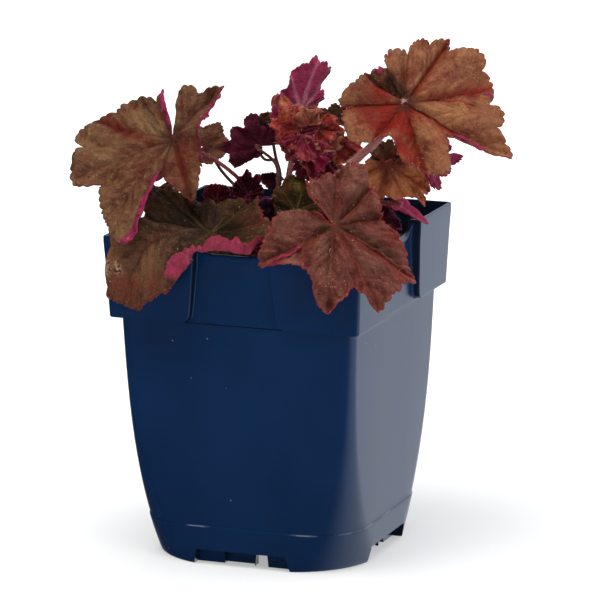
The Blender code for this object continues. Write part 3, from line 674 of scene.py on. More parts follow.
def foldDepth(x, y, given):  # 0 on the middle line of a rolled edge and 1 at its sides
    nearest = np.full_like(x, 9.0)
    for line in given:
        spots = [(*reach * unitAt(angle), wide) for angle, reach, wide in line]
        for (ax, ay, aw), (bx, by, bw) in zip(spots, spots[1:]):
            wx, wy = bx - ax, by - ay
            share = np.clip(((x - ax) * wx + (y - ay) * wy) / (wx * wx + wy * wy + 1e-9), 0, 1)
            away = np.hypot(x - ax - share * wx, y - ay - share * wy)
            nearest = np.minimum(nearest, away / (aw + (bw - aw) * share))
    return nearest


def veinGaps(angle, veins):
    # 0 on a main vein and 1 half way to the next, and the way from the nearest vein
    away = angle[:, None] - np.array(veins)[None, :]
    order = np.argsort(np.abs(away), axis=1)
    nearest = np.take_along_axis(away, order, 1)[:, 0]
    gaps = np.take_along_axis(np.abs(away), order, 1)
    return np.minimum(1.0, 2 * gaps[:, 0] / (gaps[:, 0] + gaps[:, 1])), np.sign(nearest)


def bladeShape(leaf, seed):
    draw = np.random.default_rng(seed)
    columns, length = marginColumns(leaf)
    angle, reach, rise, pullOut, pullUp, swing = columns
    teeth = toothEdge(length, leaf["toothWide"], draw) * leaf["toothTall"]
    teeth *= np.minimum(1.0, reach / 9.0)
    share = np.linspace(0, 1, leaf["rings"] + 1)[1:, None] ** 0.9
    out = 2 * share * (1 - share) * pullOut + share**2 * reach + teeth * share**7
    up = 2 * share * (1 - share) * pullUp + share**2 * rise
    size = leaf.get("size", 1.0)
    flatStep = np.hypot(np.diff(out, axis=0, prepend=0), np.diff(up, axis=0, prepend=0))
    flat = np.cumsum(flatStep, axis=0)
    turn = np.radians(angle)
    flatX, flatY = flat * np.cos(turn), flat * np.sin(turn)

    def reachAt(vein):
        return float(np.interp(vein, angle, flat[-1]))

    def spotted(key):
        return patches(flatX, flatY, leaf.get(key, ()))

    mains, branches = veinLines(leaf, reachAt, draw)
    laid = np.stack([flatX.ravel(), flatY.ravel()], 1)
    farMain, mainWeight = (part.reshape(flat.shape) for part in nearLines(laid, mains))
    farBranch, branchWeight = (part.reshape(flat.shape) for part in nearLines(laid, branches))
    wide = maskWidths
    veinWide = leaf.get("veinWide", wide["vein"]) * mainWeight
    puffMask = 1 - np.exp(-((np.minimum(farMain, farBranch) / wide["puff"]) ** 2))
    sides = np.minimum(np.abs(angle - angle[0]), np.abs(angle - angle[-1]))
    toEdge = flat[-1] - flat
    if not leaf.get("closed"):  # the sinus edges count as margin unless they lie on each other
        toEdge = np.minimum(toEdge, np.radians(sides) * flat + 0.05)
    between, hand = veinGaps(angle, leaf["veins"])
    forward, side, upward = leafAxes(leaf)
    falling = -hand * (side[2] * np.cos(turn) - forward[2] * np.sin(turn))
    lee = np.exp(-((farMain / wide["lee"]) ** 2)) * np.clip(falling * 1.6, 0, 1)
    lee = lee * (1 - share**4)  # painted shade on the side that falls away from a vein
    # the red and shaded bands are painted shade along one side of chosen veins
    red = bands(flatX, flatY, leaf.get("red", ()))
    shaded = bands(flatX, flatY, leaf.get("shaded", ()))
    depth = foldDepth(flatX, flatY, leaf.get("folds", ()))
    folded = np.clip((1 - depth) * 4, 0, 1)
    # painted shade in a line along the sides of a rolled edge
    paintedShadeBesideFold = 0.55 * np.exp(-(((depth - 1.12) / 0.14) ** 2))

    # the relief: pleats between the veins, puffs, waves, sunk bands and raised folds
    waves = waveLengths
    banked = 1 - np.exp(-((farMain / wide["bank"]) ** 1.5))
    puffed = (puffMask - 0.5) * np.minimum(1, flat / 5) * np.minimum(1, toEdge / 1.5)
    pucker = ripple(flatX, flatY, waves["pucker"], seed + 2) * puffMask
    relief = leaf["pleat"] * np.sin(between * np.pi / 2) * share
    relief += leaf["bank"] * banked * np.minimum(1, flat / 7)
    relief += leaf["puff"] * puffed
    relief += leaf["sway"] * ripple(flatX, flatY, waves["sway"], seed + 1) * share
    relief += 0.6 * leaf["puff"] * pucker
    relief += leaf["frill"] * ripple(flatX, flatY, waves["frill"], seed + 3) * share**4
    wave, tall = leaf.get("ruffle", (9.0, 0.0))  # waves that run along the margin
    running = np.sin(2 * np.pi * length / wave + 2.2 * np.sin(length / (1.7 * wave)))
    relief += tall * running * share**2
    relief -= 1.3 * np.maximum(red, shaded) * np.minimum(1, toEdge / 2)
    relief -= share * relief[-1].mean()
    relief += spotted("lift")
    crumple = leaf.get("crumple", 0.5) * folded
    relief += crumple * ripple(flatX, flatY, waves["fold"], seed + 5)
    up = up + relief + leaf.get("foldTall", 1.4) * np.sqrt(np.clip(1 - depth**2, 0, 1))

    bend = np.radians(angle + swing * share**2)
    x, y = size * out * np.cos(bend), size * out * np.sin(bend)
    grid = (
        np.array(leaf["at"]) + x[..., None] * forward + y[..., None] * side
        + up[..., None] * upward
    )
    masks = {
        "veinMask": np.exp(-((farMain / veinWide) ** 2)),
        "branchMask": np.exp(-((farBranch / wide["branch"]) ** 2)) * branchWeight,
        "puffMask": puffMask,
        "rimMask": np.exp(-((toEdge / leaf.get("rimWide", wide["rim"])) ** 2)),
        "paintedVeinShadeMask": leaf["lee"] * lee,
        "foldMask": folded,
        # real red flush patches, plus the red bands of painted shade
        "flushAndShadeMask": np.clip(spotted("flush") + red, 0, 1),
        "paleTintAndLightMask": spotted("pale"),
        "dustMask": spotted("dust"),
        "scabMask": np.clip(spotted("scab"), 0, 1),
        # painted shade: dark patches, the shaded bands and the line beside each fold
        "darkMask": np.clip(spotted("dark") + shaded + paintedShadeBesideFold, 0, 1),
        "coreMask": np.exp(-((flat / wide["core"]) ** 2)),
    }
    return grid, masks


def makeBlade(name, leaf, seed, material):
    grid, masks = bladeShape(leaf, seed)
    rings, count = grid.shape[:2]
    centre = np.array(leaf["at"], float)
    whole = np.concatenate([np.broadcast_to(centre, (1, count, 3)), grid])
    along = np.gradient(whole, axis=0)
    across = np.gradient(whole, axis=1)
    across[0] = across[1]
    normals = np.cross(along, across)
    normals[0] = leafAxes(leaf)[2]
    normals /= np.linalg.norm(normals, axis=2, keepdims=True) + 1e-9
    shift = normals * (bladeThick / 2)
    top, low = (
        np.concatenate([(whole + hand * shift)[:1, 0], (grid + hand * shift[1:]).reshape(-1, 3)])
        for hand in (1, -1)
    )
    offset = len(top)
    faces = []
    k = np.arange(count - 1)
    for r in range(rings - 1):
        a, b = 1 + r * count + k, 1 + (r + 1) * count + k
        faces.append(np.stack([a, b, b + 1, a + 1], 1))
        faces.append(np.stack([a + 1, b + 1, b, a], 1) + offset)
    last = 1 + (rings - 1) * count + k
    faces.append(np.stack([last, last + offset, last + offset + 1, last + 1], 1))
    quads = np.concatenate(faces).tolist()
    for i in range(count - 1):
        quads.append((0, 1 + i, 2 + i))
        quads.append((offset, offset + 2 + i, offset + 1 + i))
    for i, turned in ((0, False), (count - 1, True)):
        spine = [0, *(1 + r * count + i for r in range(rings))]
        for a, b in zip(spine, spine[1:]):
            quad = [a, a + offset, b + offset, b]
            quads.append(tuple(reversed(quad)) if turned else tuple(quad))
    blade = newPiece(name, np.concatenate([top, low]), quads, [material])
    for label, values in masks.items():
        middle = 1.0 if label == "coreMask" else 0.0
        one = np.concatenate([[middle], values.ravel()])
        storeMask(blade.data, label, np.concatenate([one, one]))
    below = np.ones((rings, count))
    if leaf.get("closed"):
        below[:, [0, -1]] = 0.0
    under = np.concatenate([[0.0], masks["foldMask"].ravel(), [1.0], below.ravel()])
    storeMask(blade.data, "underMask", under)
    dust = leaf.get("grains", 0.1) + masks["dustMask"].ravel()
    hair = leaf.get("hair", 0.1) * np.concatenate([[0.1], 0.05 + masks["rimMask"].ravel()])
    storeMask(blade.data, "hairMask", np.concatenate([hair, 0.6 * hair]))
    storeMask(blade.data, "grainMask", np.concatenate([[0.1], dust, np.zeros(offset)]))
    faceOut(blade)
    return blade


def newGeometryTree(name, inputs):
    shape = ("Geometry", "Geometry")
    return newTree(name, "GeometryNodeTree", (shape, *inputs), (shape,))


def runTree(piece, tree, values):  # sets the inputs by their identifiers, then keeps the result
    modifier = piece.modifiers.new(tree.name, "NODES")
    modifier.node_group = tree
    known = {item.name: item.identifier for item in tree.interface.items_tree
             if item.in_out == "INPUT"}
    for label, value in values.items():
        modifier[known[label]] = value
    applyModifiers(piece)
    return piece


# stems: a node tree sweeps a round section along a line
stemSettings = {
    "sides": 12, "spacing": 0.6, "feet": (117.6, 122.6, 126.5), "bendFrom": 4, "stopShort": 0.7,
}


def makeStemTree():
    tree, start, end = newGeometryTree(
        "stemAlongLine",
        (("Sides", "Int", stemSettings["sides"]), ("Finish", "Material")),
    )
    line = addNode(tree, "GeometryNodeMeshToCurve", Mesh=start.outputs["Geometry"])
    smooth = addNode(tree, "GeometryNodeCurveSplineType", {"spline_type": "CATMULL_ROM"},
                     Curve=line.outputs["Curve"])
    fine = addNode(tree, "GeometryNodeResampleCurve", {"mode": "LENGTH"},
                   Curve=smooth.outputs["Curve"], Length=stemSettings["spacing"] * mm)
    thick = addNode(tree, "GeometryNodeInputNamedAttribute", {"data_type": "FLOAT"}, Name="thick")
    ring = addNode(tree, "GeometryNodeCurvePrimitiveCircle", {"mode": "RADIUS"},
                   Resolution=start.outputs["Sides"], Radius=1.0)
    swept = addNode(tree, "GeometryNodeCurveToMesh", {}, Curve=fine.outputs["Curve"],
                    Profile_Curve=ring.outputs["Curve"], Fill_Caps=True)
    tree.links.new(thick.outputs["Attribute"], swept.inputs["Scale"])
    real = addNode(tree, "GeometryNodeRealizeInstances", Geometry=swept.outputs["Mesh"])
    smoothed = addNode(tree, "GeometryNodeSetShadeSmooth", Geometry=real.outputs["Geometry"])
    done = addNode(tree, "GeometryNodeSetMaterial", Geometry=smoothed.outputs["Geometry"],
                   Material=start.outputs["Finish"])
    tree.links.new(done.outputs["Geometry"], end.inputs["Geometry"])
    return tree


stemAlongLine = makeStemTree()


def makeStem(name, path, thick, thin, material, hair=0.3):
    spots = [(np.array(p, float) + potAxis) * mm for p in path]
    mesh = bpy.data.meshes.new(name)
    mesh.from_pydata([tuple(p) for p in spots], [(k, k + 1) for k in range(len(spots) - 1)], [])
    storeMask(mesh, "thick", np.linspace(thick, thin, len(spots)) * mm)
    stem = bpy.data.objects.new(name, mesh)
    scene.collection.objects.link(stem)
    runTree(stem, stemAlongLine, {"Sides": stemSettings["sides"], "Finish": material})
    storeMask(stem.data, "hairMask", np.full(len(stem.data.vertices), hair))
    faceOut(stem)
    return stem


def stemFoot(root):  # straight up out of the crown
    return [(*root, z) for z in stemSettings["feet"]]


def stemPath(leaf):  # from the crown to just short of the blade's heart
    forward, _, upward = leafAxes(leaf)
    end = np.array(leaf["at"], float)
    lean = upward + forward * leaf.get("lean", 0.3)
    lean /= np.linalg.norm(lean)
    last = [end - lean * stemSettings[key] for key in ("bendFrom", "stopShort")]
    return [*stemFoot(leaf["root"]), *leaf["via"], *last]


# the tones of a leaf, brought in by the masks on its blade
toneNames = ("Face", "Shade", "Glow", "Vein", "Edge", "Flush", "Under", "Core", "Rib")
plainTone = (0.35, 0.09, 0.15, 1)  # for a tone that a finish leaves out
scabTan = (166, 128, 98)
tintRates = {"fine": 0.9, "crease": 0.42, "net": 0.75, "pucker": 0.26}
tintHeights = {"fine": 0.6, "net": -0.35, "pucker": 4.0}
tintShares = {
    "puff": 0.4, "pale": 0.8, "crease": 0.45, "branch": 0.45, "vein": 0.6, "net": 0.12,
    "scab": 0.8, "underVein": 0.5, "underNet": 0.15,
}


def makeTintGroup():
    # colour, roughness and height of a leaf from the masks stored on its blade
    tree, start, end = newTree(
        "leafTint", "ShaderNodeTree",
        (
            ("Place", "Vector", (0, 0, 0)), ("Mottle", "Float", 0.12),
            *((tone, "Color", plainTone) for tone in toneNames),
        ),
        (("Colour", "Color"), ("Roughness", "Float"), ("Height", "Float")),
    )
    given, shares = start.outputs, tintShares
    place = given["Place"]

    def masked(name, share):
        return maths(tree, "MULTIPLY", maskNode(tree, name), share)

    def layered(under, layers):
        for amount, tone in layers:
            under = mixColour(tree, amount, under, tone)
        return under

    broad = noiseNode(tree, place, given["Mottle"], 5.0, 0.65)
    fine = noiseNode(tree, place, tintRates["fine"], 3.0, 0.6)
    crease = noiseNode(tree, place, tintRates["crease"], 4.0, 0.7)
    pucker = noiseNode(tree, place, tintRates["pucker"], 2.0, 0.5)
    cells = addNode(tree, "ShaderNodeTexVoronoi", {"feature": "DISTANCE_TO_EDGE"},
                    Vector=place, Scale=tintRates["net"], Randomness=1.0)
    net = ranged(tree, cells.outputs["Distance"], 0.0, 0.16, 1.0, 0.0)
    puff = masked("puffMask", ranged(tree, fine, 0.3, 0.75))
    scabby = ranged(tree, maskNode(tree, "scabMask"), 0.05, 0.7, 0.0, shares["scab"])
    skin = layered(given["Face"], (
        (ranged(tree, broad, 0.42, 0.66), given["Shade"]),
        # painted highlight: the puffs between the veins are lightened
        (maths(tree, "MULTIPLY", puff, shares["puff"]), given["Glow"]),
        # pale tint of the leaf together with painted light
        (masked("paleTintAndLightMask", shares["pale"]), given["Glow"]),
        (ranged(tree, crease, 0.5, 0.72, 0.0, shares["crease"]), given["Shade"]),
        (ranged(tree, crease, 0.5, 0.3, 0.0, shares["crease"]), given["Glow"]),
        # painted shade beside the veins, in the flush red
        (masked("paintedVeinShadeMask", ranged(tree, broad, 0.2, 0.6, 0.6, 1.0)), given["Flush"]),
        # red flush of the leaf, with the painted shade of the red bands
        (maskNode(tree, "flushAndShadeMask"), given["Flush"]),
        # painted shade in the dark tone of the leaf's heart
        (maskNode(tree, "darkMask"), given["Core"]),
        (maskNode(tree, "coreMask"), given["Core"]),
        (masked("branchMask", shares["branch"]), given["Shade"]),
        (masked("veinMask", shares["vein"]), given["Vein"]),
        (maths(tree, "MULTIPLY", net, shares["net"]), given["Shade"]),
        (scabby, given["Shade"]),
        (masked("scabMask", ranged(tree, fine, 0.42, 0.56)), colour(*scabTan)),
    ))
    back = layered(given["Under"], (
        (ranged(tree, broad, 0.3, 0.75, 0.0, 0.55), given["Shade"]),
        (ranged(tree, crease, 0.45, 0.7, 0.0, 0.5), given["Flush"]),
        (masked("veinMask", shares["underVein"]), given["Rib"]),
        (maths(tree, "MULTIPLY", net, shares["underNet"]), given["Flush"]),
    ))
    skin = layered(skin, (
        (maskNode(tree, "underMask"), back),
        (masked("rimMask", ranged(tree, broad, 0.35, 0.6, 0.25, 0.75)), given["Edge"]),
    ))
    tree.links.new(skin, end.inputs["Colour"])
    tree.links.new(ranged(tree, fine, 0.25, 0.75, 0.4, 0.58), end.inputs["Roughness"])
    sunk = maths(tree, "MULTIPLY", net, tintHeights["net"])
    height = maths(tree, "MULTIPLY_ADD", fine, tintHeights["fine"], sunk)
    height = maths(tree, "MULTIPLY_ADD", pucker, tintHeights["pucker"], height)
    tree.links.new(height, end.inputs["Height"])
    return tree


leafTint = makeTintGroup()

leafFinish = {  # tones in the order of toneNames
    "bronze": (
        (130, 81, 54), (97, 43, 30), (162, 110, 70), (96, 42, 30),
        (118, 32, 34), (122, 26, 16), (142, 34, 80), (40, 24, 14),
    ),
    "umber": (
        (104, 69, 48), (80, 38, 27), (132, 105, 69), (84, 38, 28),
        (92, 30, 30), (88, 24, 16), (146, 32, 80), (38, 22, 14),
    ),
    "olive": (
        (62, 42, 27), (38, 24, 16), (112, 76, 54), (80, 64, 32),
        (128, 34, 38), (106, 46, 34), (158, 52, 82), (30, 21, 12),
    ),
    "rose": (
        (104, 55, 45), (68, 25, 22), (130, 84, 67), (112, 40, 32),
        (144, 38, 36), (106, 30, 22), (150, 40, 72), (58, 40, 24),
    ),
    "russet": (
        (158, 88, 54), (110, 46, 30), (196, 130, 78), (130, 44, 32),
        (136, 36, 38), (104, 18, 24), (124, 22, 66), (40, 22, 14),
    ),
    "flame": (
        (150, 46, 28), (90, 18, 26), (208, 136, 92), (132, 40, 44),
        (150, 44, 56), (112, 14, 48), (132, 22, 70), (42, 16, 16),
    ),
    "moss": (
        (37, 27, 15), (34, 16, 13), (128, 112, 48), (92, 82, 36),
        (104, 44, 34), (100, 56, 36), (150, 60, 80), (28, 22, 12),
    ),
    "crimson": (
        (152, 16, 66), (110, 10, 46), (170, 40, 86), (176, 60, 96),
        (140, 20, 60), (130, 16, 50), (150, 30, 74), (80, 10, 36),
    ),
    "magenta": (
        (126, 34, 68), (92, 18, 48), (158, 66, 96), (190, 122, 138),
        (140, 30, 68), (120, 26, 50), (140, 36, 74), (64, 16, 30),
    ),
    "orchid": (
        (150, 52, 88), (112, 30, 64), (176, 84, 114), (214, 158, 168),
        (140, 34, 72), (120, 26, 50), (140, 38, 72), (64, 16, 30), (216, 150, 164),
    ),
    "plum": (
        (44, 12, 34), (24, 8, 20), (84, 46, 84), (70, 24, 50),
        (96, 30, 60), (64, 16, 40), (92, 22, 50), (24, 9, 16),
    ),
    "ember": (
        (116, 18, 34), (82, 12, 44), (184, 106, 84), (176, 96, 84),
        (140, 40, 66), (96, 12, 50), (124, 24, 70), (70, 14, 26),
    ),
    "straw": (
        (166, 108, 78), (118, 46, 34), (206, 156, 116), (140, 60, 48),
        (150, 70, 60), (120, 36, 40), (150, 60, 70), (90, 40, 30),
    ),
    "maroon": (
        (56, 11, 23), (32, 6, 13), (84, 22, 38), (88, 20, 40),
        (104, 24, 52), (80, 18, 32), (70, 12, 34), (32, 10, 14), (104, 34, 60),
    ),
}
mottleRates = {"flame": 0.3, "ember": 0.3, "straw": 0.4}


def makeLeafMaterial(kind):
    material, tree, shader = principled("leaf" + kind.capitalize())
    tint = tree.nodes.new("ShaderNodeGroup")
    tint.node_tree = leafTint
    tree.links.new(placeNode(tree), tint.inputs["Place"])
    for label, tone in zip(toneNames, leafFinish[kind]):
        tint.inputs[label].default_value = colour(*tone)
    if kind in mottleRates:
        tint.inputs["Mottle"].default_value = mottleRates[kind]
    tree.links.new(tint.outputs["Colour"], shader.inputs["Base Color"])
    tree.links.new(tint.outputs["Roughness"], shader.inputs["Roughness"])
    bumped(tree, shader, tint.outputs["Height"], 0.5)
    shader.inputs["Specular IOR Level"].default_value = 0.1 if kind in ("olive", "moss") else 0.22
    return material


leafMaterials = {kind: makeLeafMaterial(kind) for kind in leafFinish}

stemFinish = {
    "pink": ((150, 70, 66), (112, 42, 44)), "dark": ((104, 56, 48), (74, 36, 34)),
    "pale": ((182, 118, 110), (142, 74, 72)),
}


def makeStemMaterial(name, pale, deep):
    material, tree, shader = principled(name)
    place = placeNode(tree)
    broad = noiseNode(tree, place, 0.2, 3.0)
    skin = mixColour(tree, ranged(tree, broad, 0.3, 0.7), colour(*pale), colour(*deep))
    tree.links.new(skin, shader.inputs["Base Color"])
    tree.links.new(ranged(tree, broad, 0.3, 0.7, 0.45, 0.6), shader.inputs["Roughness"])
    bumped(tree, shader, noiseNode(tree, place, 1.4, 2.0), 0.12)
    return material


stemMaterials = {
    kind: makeStemMaterial("stem" + kind.capitalize(), *tones)
    for kind, tones in stemFinish.items()
}


# hairs and grains: node trees that scatter small shapes over a surface
def spreadPoints(tree, given):  # random points, as many as the mask and the rate ask for
    mask = addNode(tree, "GeometryNodeInputNamedAttribute", {"data_type": "FLOAT"},
                   Name=given["Grow Mask"])
    rate = maths(tree, "MULTIPLY", given["Per Square Metre"], mask.outputs["Attribute"])
    spread = addNode(tree, "GeometryNodeDistributePointsOnFaces", {"distribute_method": "RANDOM"},
                     Mesh=given["Geometry"], Seed=given["Seed"])
    tree.links.new(rate, spread.inputs["Density"])
    return spread


def randomBetween(tree, kind, low, high, seed):
    node = addNode(tree, "FunctionNodeRandomValue", {"data_type": kind}, Seed=seed)
    wanted = "VALUE" if kind == "FLOAT" else "VECTOR"
    least, most = [socket for socket in node.inputs if socket.type == wanted][:2]
    connect(tree, low, least)
    connect(tree, high, most)
    return [socket for socket in node.outputs if socket.type == wanted][0]


def placeShapes(tree, given, end, spread, shape, turn, size):
    placed = addNode(tree, "GeometryNodeInstanceOnPoints", Points=spread.outputs["Points"],
                     Instance=shape.outputs["Mesh"], Rotation=turn, Scale=size)
    real = addNode(tree, "GeometryNodeRealizeInstances", Geometry=placed.outputs["Instances"])
    done = addNode(tree, "GeometryNodeSetMaterial", Geometry=real.outputs["Geometry"],
                   Material=given["Finish"])
    tree.links.new(done.outputs["Geometry"], end.inputs["Geometry"])
    return tree


def makeHairTree():
    tree, start, end = newGeometryTree(
        "shortHairs",
        (("Per Square Metre", "Float", 1e6), ("Grow Mask", "String", "hairMask"),
         ("Least Length", "Float", 0.0008), ("Most Length", "Float", 0.0018),
         ("Width", "Float", 0.00007), ("Lean", "Float", 0.6), ("Seed", "Int", 0),
         ("Finish", "Material")),
    )
    given = start.outputs
    spread = spreadPoints(tree, given)
    hair = addNode(tree, "GeometryNodeMeshCone", {"fill_type": "NONE"}, Vertices=3,
                   Side_Segments=2, Radius_Top=0.0, Radius_Bottom=0.5, Depth=1.0)
    way = randomBetween(tree, "FLOAT_VECTOR", (-1.0, -1.0, -3.1), (1.0, 1.0, 3.1), 3)
    shape = addNode(tree, "ShaderNodeCombineXYZ", X=given["Lean"], Y=given["Lean"], Z=1.0)
    lean = vectorMaths(tree, "MULTIPLY", way, shape.outputs[0])
    tilted = addNode(tree, "FunctionNodeRotateRotation", {"rotation_space": "LOCAL"})
    tree.links.new(spread.outputs["Rotation"], tilted.inputs[0])
    tree.links.new(lean, tilted.inputs[1])
    long = randomBetween(tree, "FLOAT", given["Least Length"], given["Most Length"], 5)
    size = addNode(tree, "ShaderNodeCombineXYZ", X=given["Width"], Y=given["Width"], Z=long)
    return placeShapes(tree, given, end, spread, hair, tilted.outputs[0], size.outputs[0])


def makeGrainTree():
    tree, start, end = newGeometryTree(
        "scatteredGrains",
        (("Per Square Metre", "Float", 1e5), ("Grow Mask", "String", "grainMask"),
         ("Least Size", "Float", 0.0004), ("Most Size", "Float", 0.0014),
         ("Seed", "Int", 0), ("Finish", "Material")),
    )
    given = start.outputs
    spread = spreadPoints(tree, given)
    grain = addNode(tree, "GeometryNodeMeshIcoSphere", Radius=0.5, Subdivisions=1)
    turn = randomBetween(tree, "FLOAT_VECTOR", (-3.1,) * 3, (3.1,) * 3, 3)
    size = randomBetween(tree, "FLOAT_VECTOR", given["Least Size"], given["Most Size"], 5)
    return placeShapes(tree, given, end, spread, grain, turn, size)


shortHairs = makeHairTree()
scatteredGrains = makeGrainTree()


def scattered(name, tree, sources, values):
    # what a scatter tree grows on a copy of the given pieces
    copies = []
    for source in sources:
        copy = source.copy()
        copy.data = source.data.copy()
        scene.collection.objects.link(copy)
        copies.append(copy)
    piece = joined(name, copies) if len(copies) > 1 else copies[0]
    piece.name = name
    runTree(piece, tree, values)
    return piece


# soil with a hollow for the woody crown
soilSettings = {
    "level": 121.0, "gap": 0.3, "rings": 44, "shelfStep": 2.9, "shelfGap": 17.8, "rimOut": 0.9,
    "rimStep": 3.7, "rimGap": 17.0, "hollowWide": 14.1, "hollowDeep": 7.0, "grainFrom": 11,
}
crownSettings = {
    "radius": 12.6, "bark": 0.9, "floor": 112.6, "top": 122.4, "rings": 16, "corners": 72,
}


def soilHeight(x, y):
    lumps = 0.9 * math.sin(x * 0.31 + 1.0) * math.cos(y * 0.27)
    lumps += 0.6 * math.sin(x * 0.7 - y * 0.53)
    return soilSettings["level"] + lumps - 0.02 * max(abs(x), abs(y))


def makeSoil(material):
    s, pot = soilSettings, potSettings
    inset, shelf = pot["wall"] + s["gap"], pot["collarFoot"] + pot["wall"] + s["gap"]
    rings = []
    for z in (pot["floorTop"] + s["gap"], 50.0, shelf):
        rings.append(fourSides(sideOutline(bodyHalf(z), bodyCorner(z), inset=inset), z))
    ledge = sideOutline(
        pot["collarHalf"], pot["rimCorner"], inset=inset, step=s["shelfStep"], gap=s["shelfGap"],
    )
    rings.append(fourSides(ledge, shelf))
    rim = sideOutline(
        pot["collarHalf"] + s["rimOut"], pot["rimCorner"], inset=inset, step=s["rimStep"],
        gap=s["rimGap"],
    )
    edge = [(x, y) for x, y, _ in fourSides(rim, 0)]
    for share in np.linspace(1, 0.03, s["rings"]) ** 0.8:
        rings.append([(x * share, y * share, soilHeight(x * share, y * share)) for x, y in edge])
    points, faces = loft(rings)
    points = np.array(points)
    top = np.arange(len(points)) >= 4 * len(edge)
    x, y = points[top, 0], points[top, 1]
    lift = 0.9 * ripple(x, y, 7, 1) + 0.6 * ripple(x, y, 3.2, 2) + 0.35 * ripple(x, y, 1.5, 3)
    reach = np.hypot(x, y)
    points[top, 2] += np.where(reach < s["hollowWide"], -s["hollowDeep"] - reach * 0.1, lift)
    soil = newPiece("soilBed", points, faces, [material])
    bare = np.hypot(points[:, 0], points[:, 1]) > s["grainFrom"]
    storeMask(soil.data, "grainMask", top * bare)
    return soil


def makeCrown(material):
    # a low woody knob, ridged by the scars of old stalks
    s = crownSettings
    rings = []
    for share in np.linspace(0, 1, s["rings"]):
        z = s["floor"] + (s["top"] - s["floor"]) * share
        shrink = math.sqrt(max(0.02, 1 - max(0.0, share - 0.45) ** 2 / 0.31))
        ring = []
        for k in range(s["corners"]):
            turn = 2 * math.pi * k / s["corners"]
            ridge = 0.5 * math.sin(9 * turn + 5 * share) + 0.3 * math.sin(17 * turn - 8 * share)
            radius = (s["radius"] - s["bark"] + ridge) * shrink
            height = z + 0.25 * ridge * (share < 1)
            ring.append((radius * math.cos(turn), radius * math.sin(turn), height))
        rings.append(ring)
    return newPiece("crownKnob", *loft(rings), [material])


def makeEarth(name, dark, light, rate):
    material, tree, shader = principled(name)
    place = placeNode(tree)
    clumps = noiseNode(tree, place, rate, 6.0, 0.7)
    skin = mixColour(tree, ranged(tree, clumps, 0.35, 0.72), colour(*dark), colour(*light))
    tree.links.new(skin, shader.inputs["Base Color"])
    tree.links.new(ranged(tree, clumps, 0.3, 0.7, 0.8, 0.98), shader.inputs["Roughness"])
    bumped(tree, shader, clumps, 0.8)
    return material


soilBrown = makeEarth("soilBrown", (26, 18, 15), (66, 46, 34), 0.4)
grainBrown = makeEarth("grainBrown", (34, 24, 18), (96, 70, 50), 0.15)
crownBrown = makeEarth("crownBrown", (44, 22, 20), (92, 48, 36), 0.5)
soilBed = makeSoil(soilBrown)
crownKnob = makeCrown(crownBrown)
grainSettings = {
    "Per Square Metre": 1.4e5, "Grow Mask": "grainMask", "Least Size": 0.5 * mm,
    "Most Size": 2.2 * mm, "Seed": 4, "Finish": grainBrown,
}
soilGrains = scattered("soilGrains", scatteredGrains, [soilBed], grainSettings)
print("soil:", faceCount(soilBed), "faces and", faceCount(soilGrains), "in grains")
